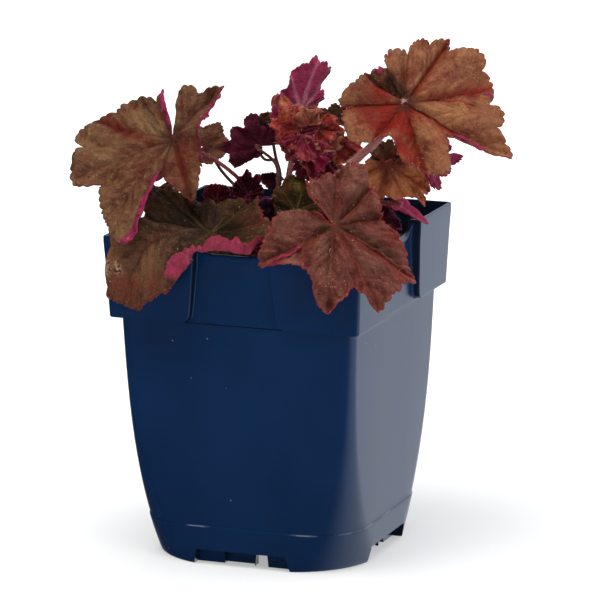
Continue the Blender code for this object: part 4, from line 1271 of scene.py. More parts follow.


# The leaves, by the node that each stands for.
# Rows go round a blade from one side of its sinus to the other:
# angle from the middle lobe, reach, rise, then the pull point and the swing where they matter.
# Red, shaded and dark entries paint shade on a blade; pale entries paint light as well as pale
# tint.
leaves = {
    "leaf_left_high": {
        **bigLeaf, "colour": "bronze", "finish": "umber", "size": 0.97, "pleat": 1.5,
        "bank": 1.2, "lee": 0.15, "sway": 2.2, "puff": 1.0,
        "margin": (
            ((-147, 26), (-140, 24), (-129, 28), (-118, 30.4), (-108, 31), (-99, 35.8),
             (-95, 38.3), (-87, 42.9), (-80, 42.7), (-75, 39.2), (-69, 43.9), (-58, 46.2),
             (-52, 45.1), (-47, 41.6), (-41, 34.8), (-32, 38.4), (-25, 42.1), (-20, 44.8),
             (-14, 47.5)),
            ((18, 21.8), (30, 28.1), (34, 30), (42, 26.4), (50, 21.7), (73, 15)),
            ((154, 31), (162, 28.4), (169, 23.3), (179, 25), (190, 20)),
        ),
        "at": (-36.0, -26.0, 170.4), "mid": (-0.08, -0.67, -0.74), "top": (-0.03, -0.74, 0.67),
        "root": (-4.1, -2.9),
        "via": ((-6.5, -2.0, 137.0), (-14.0, -5.5, 150.0), (-25.0, -14.0, 161.5)),
        "thick": 1.0, "thin": 0.7, "lean": -0.3,
        "veins": (-140, -95, -58, -18, 32, 95, 158),
        "folds": (
            (
                (-153.5, 29, 0.8), (-153, 24, 1.6), (-151, 19, 1.9), (-150, 13, 1.5),
                (-150, 7, 0.9),
            ),
            (
                (150, 31, 0.8), (146, 25, 1.5), (136, 19, 2.2), (118, 15, 1.8), (92, 14, 1.1),
                (66, 17, 0.8),
            ),
            (
                (6, 19, 0.7), (2.8, 23, 1.7), (3, 29, 2.0), (3.1, 36, 1.5), (2.9, 43, 1.6),
                (2.8, 51, 2.3), (2.4, 58, 1.4),
            ),
        ),
        "red": (
            (-62, 24, -55, 6, 3.0, 1, 0.45), (26, 6, 30, 26, 3.4, 1, 0.6),
            (-20, 6, -22, 24, 3.0, -1, 0.4),
        ),
        "shaded": ((-131, 27, -128, 12, 3.2, -1, 0.5), (158, 5, 158, 26, 3.0, 1, 0.45)),
        "flush": (
            (-98, 32, 2.6, 0.8), (-95, 27, 3.2, 1.0), (-91, 21, 3.2, 1.0), (-84, 15, 2.6, 0.8),
            (-74, 10, 2.4, 0.5),
            (40, 14, 9, 0.35), (80, 9, 6, 0.4), (12, 22, 7, 0.35), (160, 26, 4, 0.3),
            (-40, 37, 6, 0.25),
        ),
        "pale": (
            (-112, 14, 4.5, 0.6), (-120, 8, 4, 0.6), (-116, 21, 4, 0.5), (-70, 30, 8, 0.35),
        ),
        "dark": ((-135, 24, 4, 0.3), (-146, 4, 3, 0.5)),
        "rows": (
            (-158, 15, 2.5, 9, 0, 12), (-155, 22, 2.5, 12, 0, 8), (-152, 27, 1.5, 14, 0, 0),
            (-144, 25, 0), (-129, 28, -1), (-108, 31, -1), (-99, 36, 0), (-87, 43, 0),
            (-75, 39, 1), (-58, 46.5, 0), (-47, 42, 0), (-41, 35.5, 1), (-27, 41, 2),
            (-14, 47.5, 4), (-5, 54, 6), (3, 58.5, 8), (5, 50, 8), (5.4, 42, 8, 21, 0, -1),
            (5.8, 36, 6, 18, 0, -2.5), (6.3, 29, 4, 14, 0, -4), (7, 23, 2, 12, 0, -4),
            (9, 18, 0, 9, 0, -3), (18, 22, 0), (33, 30, -2), (46, 24, -2), (73, 15, -1),
            (97, 13, 4, 13, -2), (118, 14, 4, 14, -2), (134, 19, 3, 16, -1), (148, 28, 1),
            (154, 31, 0), (166, 23.5, 1), (176, 25, 2), (186, 21, 2), (192, 15, 1),
        ),
    },
    "leaf_right_high": {
        **bigLeaf, "colour": "bronze", "size": 0.975, "hair": 0.6, "stemHair": 3.0, "closed": 1,
        "bank": 1.9, "lee": 0.25, "pleat": 2.6, "puff": 0.9, "sway": 1.9,
        "margin": (
            ((-180, 21), (-171, 22.1), (-163, 24.9), (-151, 27.2), (-146, 21.4), (-142, 25.3),
             (-136, 26.9), (-120, 28.8), (-113, 29.4), (-103, 24.1), (-95, 18.8), (-82, 17.8),
             (-73, 20.5), (-65, 28.2), (-50, 28.3), (-44, 32.1), (-36, 34.7), (-31, 34.4),
             (-24, 27.5), (-17, 24.5), (-11, 23)),
            ((3, 49), (9, 44.6), (15, 39), (19, 41), (24, 40.6), (28, 37.7), (30, 33.9), (34, 36),
             (40, 37.3), (50, 37.8), (56, 36.3), (60, 38.8), (67, 39.1), (76, 35.4), (82, 29.2),
             (84, 33), (88, 36), (94, 33.8), (98, 30.3), (103, 31.2), (110, 28.5), (116, 22.4),
             (120, 25.1), (132, 24), (144, 21)),
        ),
        "at": (57.0, -8.0, 187.4), "mid": (0.89, 0.12, -0.45), "top": (0.40, -0.69, 0.61),
        "root": (5.0, -0.7),
        "via": (
            (11.0, -3.0, 140.0), (25.0, -7.0, 153.0), (38.0, -10.0, 164.5), (48.0, -8.5, 175.0),
        ),
        "thick": 1.8, "thin": 1.4, "lean": 0.5, "stem": "pale",
        "veins": (-190, -150, -100, -46, 4, 40, 86, 115),
        "folds": (
            ((164, 23, 0.9), (160, 20, 1.5), (157, 17, 1.1)),
            ((-6, 24, 0.7), (-4, 30, 1.0), (-3, 38, 0.9)), ((40, 34.5, 0.7), (35, 37.5, 1.2)),
        ),
        "red": (
            (7, 3, 2, 24, 4.6, -1, 1.0), (40, 11, 42, 36, 2.6, 1, 0.8),
            (39, 13, 27, 27, 1.7, 1, 0.8),
            (27, 24, 21, 27, 1.4, 1, 0.7), (92, 7, 89, 36, 3.4, -1, 0.75),
            (-152, 3, -149, 26, 3.4, 1, 0.8),
            (-46, 4, -44, 33, 4.6, -1, 0.7), (-100, 18, -98, 4, 3.0, -1, 0.5),
            (70, 6, 66, 16, 2.0, 1, 0.4),
        ),
        "shaded": ((116, 8, 118, 24, 2.6, 1, 0.35), (-186, 4, -184, 18, 5.0, -1, 0.7)),
        "flush": (
            (-95, 11, 4.5, 1.0), (-80, 6, 4, 1.0), (176, 9, 5, 0.8), (190, 14, 5, 0.6),
            (-134, 14, 5.5, 0.5), (-124, 19, 4, 0.3), (-120, 8, 4, 0.6), (-66, 12, 4, 0.9),
            (-104, 17, 3.5, 0.7), (-74, 20, 4, 0.6),
            (46, 30, 5, 0.35), (-66, 24, 6, 0.75), (-56, 30, 4, 0.5), (-126, 18, 6, 0.35),
            (-22, 22, 3, 0.3),
        ),
        "pale": (
            (18, 14, 5, 0.8), (22, 24, 4, 0.9), (14, 20, 3.5, 0.7), (60, 16, 5, 0.3),
            (-28, 13, 3, 0.7), (-20, 18, 3, 0.5),
        ),
        "dark": (
            (146, 7.5, 3.2, 0.95), (150, 12, 2.6, 0.85), (138, 4.5, 2.6, 0.8), (100, 4, 3, 0.4),
            (-170, 16, 8, 0.25), (-136, 17, 6, 0.3),
        ),
        "rows": (
            (-218, 15, -1.2), (-205, 18, -0.4), (-195, 19, 0.6), (-180, 21, 1), (-165, 24, 0),
            (-151, 26.5, 0),
            (-145, 22, 1), (-135, 26, 0), (-119, 28.5, -1), (-104, 24, 0), (-92, 18, 1),
            (-78, 19, 1), (-64, 28.5, 0), (-47, 31, 0), (-31, 34.5, -1), (-20, 27, 0),
            (-11, 22.5, 1), (-6, 32, 2), (-2, 43, 0), (3, 49, -2), (9, 44, -1),
            (15, 38.5, 0), (23, 41, 0), (30, 34, 1), (42, 38, 0), (56, 36, 1), (66, 39, 0),
            (76, 35, 1), (83, 29, 2), (88, 34, 0), (103, 29.5, 1), (115, 23.5, 2), (122, 23, 1),
            (132, 22.5, 2), (144, 20.5, 2.2), (149, 18, 2.2),
        ),
    },
    "leaf_left_low": {
        **bigLeaf, "colour": "olive", "closed": 1, "pleat": 1.8, "bank": 1.4, "lee": 0.2,
        "rimWide": 0.7,
        "puff": 0.9, "ruffle": (15.0, 0.7),
        "at": (-13.2, -42.0, 136.8), "mid": (-0.55, -0.83, 0.0), "top": (0.08, -0.05, 1.0),
        "root": (-3.9, -8.8), "via": ((-5.5, -17.0, 133.0), (-9.0, -30.0, 137.5)),
        "thick": 1.3, "thin": 1.0, "lean": 0.8,
        "veins": (-150, -90, -55, -18, 30, 95, 150, 200), "foldTall": 3.0, "crumple": 1.0,
        "folds": (
            ((8, 36, 0.3), (12, 34, 1.8), (15, 32, 3.2), (18, 30, 4.2), (22, 28, 4.4),
             (28, 24.5, 3.8), (36, 20.5, 3.2), (44, 20, 2.8), (55, 21.5, 2.4), (70, 22.7, 2.0),
             (84, 24.4, 1.7), (96, 26.4, 1.5), (110, 28, 1.2)),
        ),
        "red": ((-18, 8, -18, 30, 3.0, -1, 0.2),),
        "shaded": (
            (-55, 6, -50, 34, 5.0, -1, 0.7), (-90, 4, -88, 36, 4.0, 1, 0.5),
            (150, 4, 150, 18, 3.0, 1, 0.6),
        ),
        "flush": (
            (-28, 50, 7, 0.55), (-15, 46, 6, 0.6), (0, 40, 5, 0.6), (150, 18, 7, 0.35),
            (-50, 36, 4, 0.4),
        ),
        "pale": ((-20, 38, 13, 0.7), (-6, 34, 8, 0.7), (-64, 34, 5, 0.45), (-36, 46, 8, 0.7)),
        "dark": ((-75, 14, 9, 0.75), (120, 9, 7, 0.75), (-110, 14, 7, 0.4), (180, 10, 6, 0.5)),
        "scab": (
            (-30, 48, 2.6, 1.0), (-25, 43, 2.2, 1.0), (-34, 52, 2.0, 0.9), (-90, 37, 2.2, 1.0),
            (-97, 33, 1.8, 0.9),
        ),
        "rows": (
            (-131, 19, 5.5), (-119, 21, 6.5), (-100, 24, 8), (-94, 35, 12), (-86, 38, 11),
            (-75, 36, 6),
            (-62, 29, 3), (-50, 28, 2), (-42, 34, 0, 24, 2), (-37.5, 37, 0, 28, 3),
            (-36, 39, -2, 29, 3), (-33, 40, -8, 31, 4), (-30, 41, -16, 34, 4),
            (-26, 41, -25, 36, 5), (-19, 35, -30, 33, 7), (-9, 31, -30, 31, 8),
            (-2, 27, -26, 29, 8), (8, 24, -21, 27, 8), (18, 21, -17, 26, 5),
            (25, 20, -12, 25, 3), (33, 18.5, -6, 26, -2), (40, 17.5, -3, 26, -6),
            (50, 17.5, -1, 26, -7), (61, 18.5, 0, 26, -7), (76, 20, 0.5, 27, -6),
            (92, 23, 0, 29, -3), (104, 26, 0, 28, -1), (116, 27, 1, 22, 2), (128, 25, 3),
            (150, 20.5, 7), (172, 21, 9), (196, 25, 10), (222, 24, 7), (236, 21, 4),
        ),
    },
    "leaf_front": {
        **bigLeaf, "colour": "rose", "pleat": 3.0, "bank": 2.0, "lee": 0.4, "rimWide": 0.7,
        "puff": 1.4, "sway": 2.0,
        "margin": (
            ((-156, 8), (-148, 12), (-143, 15), (-137.6, 17.6), (-129.5, 20.8), (-121.4, 23.6),
             (-110, 25.8), (-101, 29), (-94, 31.8), (-84, 34), (-78, 28.5),
             (-73, 25.9), (-66, 24.5), (-60, 23), (-52, 24), (-45, 26.1), (-41, 31.4),
             (-36, 35),
             (-30, 36.5), (-21, 33.1), (-16, 30), (-11, 27.2), (-5, 32), (-1, 39.9), (4, 39),
             (12, 38.4), (20, 37.5), (27, 39.7), (31, 35), (35, 32.5), (50, 26.5), (60, 22),
             (70, 18.6), (84, 19.8), (101, 21), (118, 22.8), (126, 28), (141, 27.4), (152, 24),
             (163, 22.1), (172, 20)),
        ),
        "at": (41.5, -48.2, 144.5), "mid": (0.61, -0.36, -0.70), "top": (0.27, -0.74, 0.61),
        "root": (6.8, -6.4), "via": ((14.0, -17.0, 134.0), (29.0, -36.0, 140.0)),
        "thick": 1.3, "thin": 1.0, "lean": 0.8,
        "veins": (-150, -90, -30, 0, 28, 75, 113, 149),
        "folds": (((-83, 31, 0.5), (-82, 24, 1.0), (-79, 17, 0.6)),),
        "red": (
            (26, 6, 28, 36, 3.0, -1, 0.5), (-1, 10, -1, 34, 2.2, -1, 0.4),
            (-60, 22, -66, 9, 2.4, 1, 0.5),
        ),
        "shaded": (
            (-76, 14, -70, 5, 3.0, 1, 0.5), (30, 6, 30, 26, 3.6, 1, 0.7),
            (-33, 8, -32, 22, 2.6, -1, 0.6),
            (112, 5, 113, 20, 2.4, 1, 0.6), (150, 5, 150, 20, 2.0, 1, 0.45),
        ),
        "flush": (
            (-80, 29, 3, 0.6), (-14, 30, 4, 0.3), (48, 24, 5, 0.5), (24, 36, 4, 0.4),
            (-112, 26, 3, 0.4),
        ),
        "pale": (
            (-74, 25.5, 2.6, 0.9), (-66, 23.5, 2.6, 0.9), (-32, 23, 4, 0.5), (12, 22, 6, 0.5),
            (130, 18, 6, 0.5), (-110, 18, 6, 0.45), (-50, 12, 4, 0.55),
        ),
        "dark": ((-101, 4, 3, 0.5), (-150, 8.5, 3, 0.7), (60, 7, 3, 0.3)),
        "lift": ((2, 15.5, 7, 2.0),),
        "dust": (
            (-32, 23, 5, 1.2), (-18, 30, 4, 1.2), (-26, 26, 4, 1.2), (-50, 12, 5, 0.7),
            (-60, 24, 4, 0.6),
        ),
        "rows": (
            (-156, 8, 1), (-134, 19, 1), (-110, 26, 0), (-95, 31, -1), (-84, 34, 0),
            (-73, 26, 2), (-60, 23, 3), (-46, 26, 3, 14, 3), (-40, 31, 1, 17, 5),
            (-30, 36.5, 0, 18, 6), (-20, 33, 0, 17, 6), (-12, 27, 2, 14, 5), (-6, 32, 1, 17, 6),
            (0, 40, -1, 20, 7), (10, 38, -1, 19, 6), (20, 37, 0, 18, 5), (27, 39.5, -1, 20, 5),
            (36, 32, 1, 16, 4), (50, 26.5, 0, 13, 3), (68, 18.5, 1), (84, 20, 0),
            (101, 21, 0), (117, 22.5, 1), (127, 28, 0), (140, 27, 1), (155, 23, 2),
            (170, 20, 2), (184, 21, 2), (192, 15, 1),
        ),
    },
    "leaf_upright": {
        **smallLeaf, "colour": "magenta", "finish": "orchid",
        "at": (6.7, 6.0, 178.6), "mid": (0.22, 0.27, 0.94), "top": (-0.66, 0.75, -0.06),
        "root": (0.4, 5.0), "via": ((1.0, 6.0, 150.0),), "thick": 0.9, "thin": 0.8, "lean": 1.0,
        "veins": (-62, -32, 3, 24, 46), "veinWide": 1.0, "pleat": -2.6, "toothTall": 0.9,
        "frill": 1.2,
        "margin": (
            ((-80, 11), (-66, 10.2), (-58, 11.2), (-47, 11.4), (-40, 13.2), (-32, 14.9),
             (-21, 18.2),
             (-14, 19.7), (-8.5, 19.4), (-4.4, 22), (0.3, 23.4), (5.3, 21.4), (12.2, 23),
             (15, 21),
             (22.9, 22.4), (23.6, 18), (25, 14.4), (29, 12.2), (34, 12.9), (40, 11.2),
             (48.6, 11.8),
             (50, 8)),
        ),
        "pale": ((0, 8, 2.5, 0.6), (-50, 8, 3, 0.5)), "dark": ((40, 8, 3, 0.4),),
        "rows": (
            (-105, 7, 1), (-75, 12, 1), (-51, 11.5, 0), (-38, 14, 0), (-30, 13, 0),
            (-21, 18.3, 0),
            (-10, 20, 0), (0, 23, 0), (11, 22, 0), (20, 22.5, 1), (27, 15.5, 0), (40, 12, 0),
            (50, 9, 1), (75, 4, 1), (110, 3, 1),
        ),
    },
    "leaf_dark_magenta": {
        **smallLeaf, "colour": "maroon",
        "at": (-6.0, -4.0, 165.2), "mid": (-0.84, -0.54, 0.07), "top": (-0.54, 0.84, -0.01),
        "root": (-0.4, -5.0), "via": ((1.0, -6.0, 145.0), (0.5, -5.0, 158.0)),
        "thick": 0.8, "thin": 0.55, "lean": -1.0, "stem": "dark",
        "veins": (-90, -50, -15, 30, 70, 110), "pleat": -3.4, "toothTall": 0.6, "frill": 2.4,
        "margin": (
            ((-47, 11.5), (-40.6, 14.1), (-33, 14.3), (-25, 15.1), (-19, 14.2), (-14, 13.9),
             (-8.6, 15.9),
             (-3, 15.4), (3.7, 15.2), (8, 13.4), (12.4, 13), (19, 14.1), (25.7, 14.3),
             (35.8, 13.1),
             (41, 11.2), (45, 11.2), (54.4, 13.7), (62, 13.8), (68.6, 14.2), (74, 13.4),
             (79.2, 13.2),
             (80, 9.8), (82, 8.4), (102, 7.4)),
        ),
        "pale": ((20, 9, 3, 0.7), (-20, 10, 3, 0.7), (66, 10, 2.5, 0.6)),
        "rows": (
            (-100, 3, 1), (-75, 4, 1), (-60, 6, 0), (-51, 9.5, 0), (-43, 14, 0), (-33, 13, 0),
            (-24, 14.7, 0), (-16, 13, 0), (-9, 16.1, 0), (7, 13, 0), (20, 13.4, 0), (30, 15, 0),
            (43, 12, 0), (56, 13.5, 0), (72, 14, 0), (92, 10.5, 1), (125, 10, 1), (150, 9.5, 1),
            (175, 7, 1),
        ),
    },
    "leaf_behind_left": {
        **smallLeaf, "colour": "olive", "finish": "umber",
        "at": (-35.0, 4.0, 161.9), "mid": (0.72, 0.56, 0.41), "top": (0.17, -0.71, 0.68),
        "root": (-9.3, 2.4), "via": ((-16.0, 5.0, 140.0), (-28.0, 6.0, 152.0)),
        "thick": 0.8, "thin": 0.6, "lean": -0.6, "stem": "dark",
        "veins": (-100, -45, 0, 40, 95),
        "rows": (
            (-150, 6, 1), (-107, 9, 0), (-70, 10, 0), (-33, 9.5, 0), (-13, 10.5, 0), (5, 10, 0),
            (18, 11.5, 0), (36, 12.4, 0), (56, 9, 0), (85, 8, 0), (120, 8, 1), (150, 6, 1),
        ),
    },
    "leaf_ruffled": {
        **smallLeaf, "colour": "russet", "finish": "flame", "puff": 1.2, "rings": 34,
        "at": (12.0, -8.0, 172.8), "mid": (0.58, -0.26, -0.77), "top": (0.39, -0.74, 0.55),
        "root": (3.2, -3.9), "via": ((5.0, -3.0, 150.0),), "thick": 1.2, "thin": 0.9,
        "lean": 0.5,
        "veins": (-170, -110, -60, -10, 40, 90, 135), "pleat": 1.6, "frill": 2.2, "sway": 2.8,
        "ruffle": (8.0, 1.5), "hair": 0.8, "stem": "pale", "stemHair": 2.0,
        "curls": (
            ((14.4, -10.0, 172.5), (0.4, -0.4, -0.82), (0.4, -0.77, 0.49), 13.5, "ember"),
            ((13.0, -10.0, 174.0), (-0.75, -0.46, 0.48), (0.54, -0.74, 0.4), 11.5, "flame"),
            ((19.2, -7.6, 174.5), (0.98, 0.02, -0.21), (0.14, -0.89, 0.44), 9.5, "flame"),
            ((15.7, -8.6, 175.9), (-0.06, -0.1, 0.99), (0.45, -0.89, -0.02), 7.5, "straw"),
            ((22.5, -8.0, 171.0), (0.75, -0.2, -0.6), (0.3, -0.85, 0.44), 7.5, "straw"),
            ((26.3, -1.6, 170.0), (0.36, -0.24, -0.9), (0.33, -0.87, 0.37), 11.5, "flame"),
            ((21.3, -3.8, 161.9), (-0.08, -0.37, -0.93), (0.14, -0.94, 0.32), 10.5, "ember"),
            ((14.9, -6.3, 161.9), (-0.08, -0.37, -0.93), (0.14, -0.94, 0.32), 8.5, "ember"),
        ),
        "folds": (
            ((-176, 17, 0.6), (-165, 15, 1.0), (-150, 12, 0.7)),
            ((20, 16, 0.6), (38, 15.5, 1.1), (52, 16, 0.6)),
        ),
        "flush": ((0, 15, 7, 0.9), (28, 15, 6, 0.7), (-165, 8, 4, 0.5), (100, 6, 4, 0.6)),
        "pale": (
            (-175, 15, 3, 0.9), (8, 11, 2.6, 0.9), (18, 14, 2.2, 0.9), (62, 15, 3, 0.9),
            (120, 8, 3.4, 0.9),
        ),
        "dark": ((40, 6, 3, 0.6), (-60, 6, 4, 0.5), (85, 5, 3, 0.7)),
        "rows": (
            (-205, 10, 0), (-193, 12.7, -2), (-183, 17.7, 1), (-172, 18.7, 2), (-161, 15.1, -2),
            (-140, 12, 1), (-118, 9.7, 3), (-91, 10.4, -1), (-66, 11.2, 2), (-40, 9.5, 4),
            (-24, 17, 0), (-9, 19.1, -3), (6, 18.1, 2), (19, 17, 4), (33, 17, -1),
            (46, 18.5, -2), (65, 16.5, 3), (79, 12.5, 3), (99, 11, -1), (118, 12.5, 1),
            (135, 9.5, 2),
        ),
    },
    "leaf_small_olive": {
        **smallLeaf, "colour": "olive",
        "at": (23.1, 6.0, 174.3), "mid": (-0.68, 0.33, 0.65), "top": (0.19, -0.78, 0.60),
        "root": (4.2, 2.9), "via": ((8.0, 4.0, 150.0), (17.0, 6.5, 164.0)),
        "thick": 0.9, "thin": 0.7, "lean": -0.4,
        "veins": (-95, -40, 0, 40, 95),
        "rows": (
            (-150, 7, 1), (-110, 8, 0), (-75, 6.5, 1), (-39, 8, 0), (-20, 9, 0), (0, 8.3, 0),
            (21, 9.6, 0), (38, 7.5, 0), (75, 7, 1), (115, 8, 1), (150, 6, 1),
        ),
    },
    "leaf_below_right": {
        **smallLeaf, "colour": "russet",
        "at": (46.7, -0.5, 160.9), "mid": (0.56, -0.38, -0.73), "top": (0.37, -0.68, 0.64),
        "root": (9.0, -3.2), "via": ((17.0, -4.5, 137.0), (34.0, -3.0, 150.0)),
        "thick": 1.1, "thin": 0.9, "lean": 0.6,
        "veins": (-140, -90, -40, 0, 35, 85, 130), "pleat": 1.5, "frill": 1.6, "hair": 0.4,
        "ruffle": (10.0, 1.0), "rimWide": 0.7, "sway": 1.8,
        "curls": (
            ((46.2, 0.9, 160.9), (-0.22, 0.15, 0.95), (0.35, -0.91, 0.22), 9.0, "umber"),
        ),
        "pale": ((-60, 10, 4, 0.8), (-100, 8, 3, 0.6), (10, 12, 4, 0.8), (60, 11, 3.5, 0.5)),
        "dark": ((-20, 6, 3, 0.4),),
        "rows": (
            (-160, 6, 0), (-125, 7.5, 0), (-108, 9.5, 0), (-93, 13, -1), (-76, 12.5, 0),
            (-61, 14, 1),
            (-48, 15, 1), (-37, 17, -1), (-27, 16, 2), (-17, 18.6, 0), (-5, 16.5, 1),
            (3, 16.5, 2),
            (10, 19, 0), (16, 23.6, -1), (23, 19, 1), (33, 20.4, 0), (45, 16, 1), (58, 15, 0),
            (80, 12, 1), (105, 11, 1), (135, 8, 1),
        ),
    },
    "leaf_pink_back": {
        **smallLeaf, "colour": "magenta",
        "at": (57.4, 14.0, 160.3), "mid": (0.89, 0.23, -0.40), "top": (-0.26, 0.96, -0.02),
        "root": (7.9, 5.4), "via": ((16.0, 11.0, 138.0), (38.0, 17.0, 153.0)),
        "thick": 1.0, "thin": 0.8, "lean": -1.0,
        "veins": (-85, -35, 0, 40, 85), "pleat": -1.0,
        "rows": (
            (-130, 5, 1), (-95, 6, 1), (-68, 8, 0), (-52, 12.5, 0), (-40, 9.5, 0),
            (-29, 15.4, 0),
            (-11, 10.4, 0), (2, 11.5, 0), (15, 10.6, 0), (25, 8.5, 0), (39, 13.7, 0),
            (55, 10.4, 0),
            (80, 7, 1), (120, 5, 1),
        ),
    },
    "leaf_crimson_tip": {
        **smallLeaf, "colour": "magenta", "finish": "crimson", "toothTall": 0.4,
        "at": (48.1, 2.0, 145.5), "mid": (0.59, 0.55, -0.59), "top": (-0.62, 0.78, 0.09),
        "root": (9.6, 1.1), "via": ((20.0, 2.0, 134.0), (37.0, 1.0, 144.0)),
        "thick": 0.9, "thin": 0.7, "lean": -0.6,
        "veins": (-60, 0, 60), "pleat": -0.8,
        "rows": (
            (-115, 2.5, 1), (-75, 3.2, 0), (-42, 4.2, 0), (-15, 8, 0), (-6, 14.5, 0),
            (0, 19.6, 0),
            (3, 15, 0), (8, 9, 0), (22, 4.6, 0), (70, 3, 0), (115, 2.5, 1),
        ),
    },
    "leaf_olive_inner": {
        **smallLeaf, "colour": "olive", "finish": "moss",
        "at": (15.5, -22.0, 143.0), "mid": (-0.46, 0.64, 0.62), "top": (0.14, -0.63, 0.76),
        "root": (3.2, -9.1), "via": ((9.2, -15.5, 131.0),), "thick": 1.0, "thin": 0.8,
        "lean": -0.6,
        "veins": (-130, -72, -25, 12, 60, 110), "pleat": 1.4,
        "pale": ((-16, 12.5, 2.4, 0.8),), "dark": ((-60, 7, 5, 0.7), (30, 8, 5, 0.5)),
        "flush": ((-30, 14, 2.4, 0.8), (8, 13, 3, 0.7)), "rimWide": 0.8, "ruffle": (8.0, 0.8),
        "rows": (
            (-150, 8, 1), (-111, 9.4, 1), (-72, 10, 0), (-53, 10.5, 1), (-35, 15, 0),
            (-16, 18, 0), (-2, 16.5, 1), (12, 17, 0), (30, 14, 0), (43, 11, 1), (60, 9, 0),
            (84, 7.5, 0), (115, 7, 1), (150, 7, 1),
        ),
    },
    "leaf_purple_low": {
        **smallLeaf, "colour": "maroon", "finish": "plum",
        "at": (3.9, -23.6, 133.8), "mid": (0.2, 0.35, 0.9), "top": (0.35, -0.88, 0.3),
        "root": (-0.4, -9.6), "via": ((0.0, -14.5, 128.0),), "thick": 1.0, "thin": 0.9,
        "lean": -0.3,
        "veins": (-100, -50, 0, 50, 100), "ruffle": (6.5, 1.2), "rimWide": 0.8,
        "rows": (
            (-150, 6, 0), (-115, 6.5, 0), (-85, 7.5, 1), (-55, 9.5, 0), (-28, 13, 2),
            (0, 14, 2),
            (26, 14, 3), (52, 10, 1), (85, 6.5, 1), (120, 7, 1), (150, 6, 1),
        ),
    },
    "leaf_maroon_inner": {
        **smallLeaf, "colour": "maroon",
        "at": (37.5, 5.0, 131.0), "mid": (0.9, 0.25, 0.35), "top": (-0.2, -0.7, 0.68),
        "root": (5.6, 7.9), "via": ((14.0, 10.5, 127.5), (28.0, 8.0, 127.0)),
        "thick": 1.0, "thin": 0.8, "lean": 0.6,
        "veins": (-120, -55, 0, 50, 100), "ruffle": (7.0, 1.0),
        "rows": (
            (-150, 8, 1), (-105, 9, 0), (-80, 9, 0), (-55, 10, 1), (-28, 12, 0), (0, 12.5, 0),
            (26, 12, 0), (52, 13, 1), (80, 12, 0), (110, 11, 1), (150, 9, 1),
        ),
    },
    "leaf_young": {
        **smallLeaf, "colour": "maroon",
        "at": (-9.0, -12.0, 146.0), "mid": (0.05, 0.1, 0.99), "top": (0.35, -0.9, 0.2),
        "root": (-8.0, -5.5), "via": ((-9.5, -10.0, 135.0),), "thick": 0.9, "thin": 0.7,
        "lean": -0.3,
        "veins": (-100, -45, -15, 25, 80), "ruffle": (5.0, 1.2), "rimWide": 0.7,
        "rows": (
            (-140, 4, 1), (-100, 5, 0), (-65, 6.5, 1), (-38, 7, 0), (-22, 10, 0), (-8, 7.5, 1),
            (6, 11, 0), (18, 8.5, 0), (40, 8, 1), (70, 7, 0), (105, 5.5, 0), (140, 4, 1),
        ),
    },
    "leaf_red_curl": {
        **smallLeaf, "colour": "maroon", "finish": "ember", "ruffle": (5.0, 0.8),
        "at": (-27.0, -2.0, 141.5), "mid": (-0.2, 0.1, 0.95), "top": (0.35, -0.9, 0.2),
        "root": (-9.5, -1.6), "via": ((-17.0, -3.0, 131.0),), "thick": 0.9, "thin": 0.7,
        "lean": -0.3,
        "veins": (-80, -20, 40, 100),
        "rows": (
            (-130, 4, 1), (-85, 6, 1), (-50, 7, 3), (-20, 6, 3), (8, 6.5, 3), (35, 6.4, 2),
            (60, 5.6, 0), (85, 5, -1), (120, 4, 0),
        ),
    },
    "leaf_back_low": {
        **smallLeaf, "colour": "olive",
        "at": (-6.0, 27.0, 127.0), "mid": (-0.3, 0.93, 0.15), "top": (0.05, -0.15, 0.98),
        "root": (-1.7, 9.5), "via": ((-3.0, 15.0, 127.0),), "thick": 1.0, "thin": 0.8,
        "lean": 0.7,
        "veins": (-150, -95, -45, 0, 45, 95, 150),
        "rows": (
            (-165, 9, 1), (-130, 12, 1), (-100, 14, 1), (-72, 12, 2), (-45, 16, 1),
            (-22, 13, 2),
            (0, 17, 0), (22, 13, 2), (45, 16, 1), (72, 12, 2), (100, 14, 1), (130, 12, 1),
            (165, 9, 1),
        ),
    },
    "leaf_back_right": {
        **smallLeaf, "colour": "maroon",
        "at": (23.0, 29.0, 128.5), "mid": (0.62, 0.77, 0.1), "top": (-0.1, -0.1, 0.98),
        "root": (2.0, 9.4), "via": ((7.0, 16.0, 128.0),), "thick": 1.0, "thin": 0.8,
        "lean": 0.7,
        "veins": (-150, -95, -45, 0, 45, 95, 150),
        "rows": (
            (-165, 9, 1), (-130, 13, 1), (-102, 14, 1), (-72, 12, 2), (-45, 15, 1),
            (-22, 13, 2),
            (0, 16, 0), (22, 13, 2), (45, 15, 1), (72, 12, 2), (100, 13, 1), (130, 12, 1),
            (165, 9, 1),
        ),
    },
}

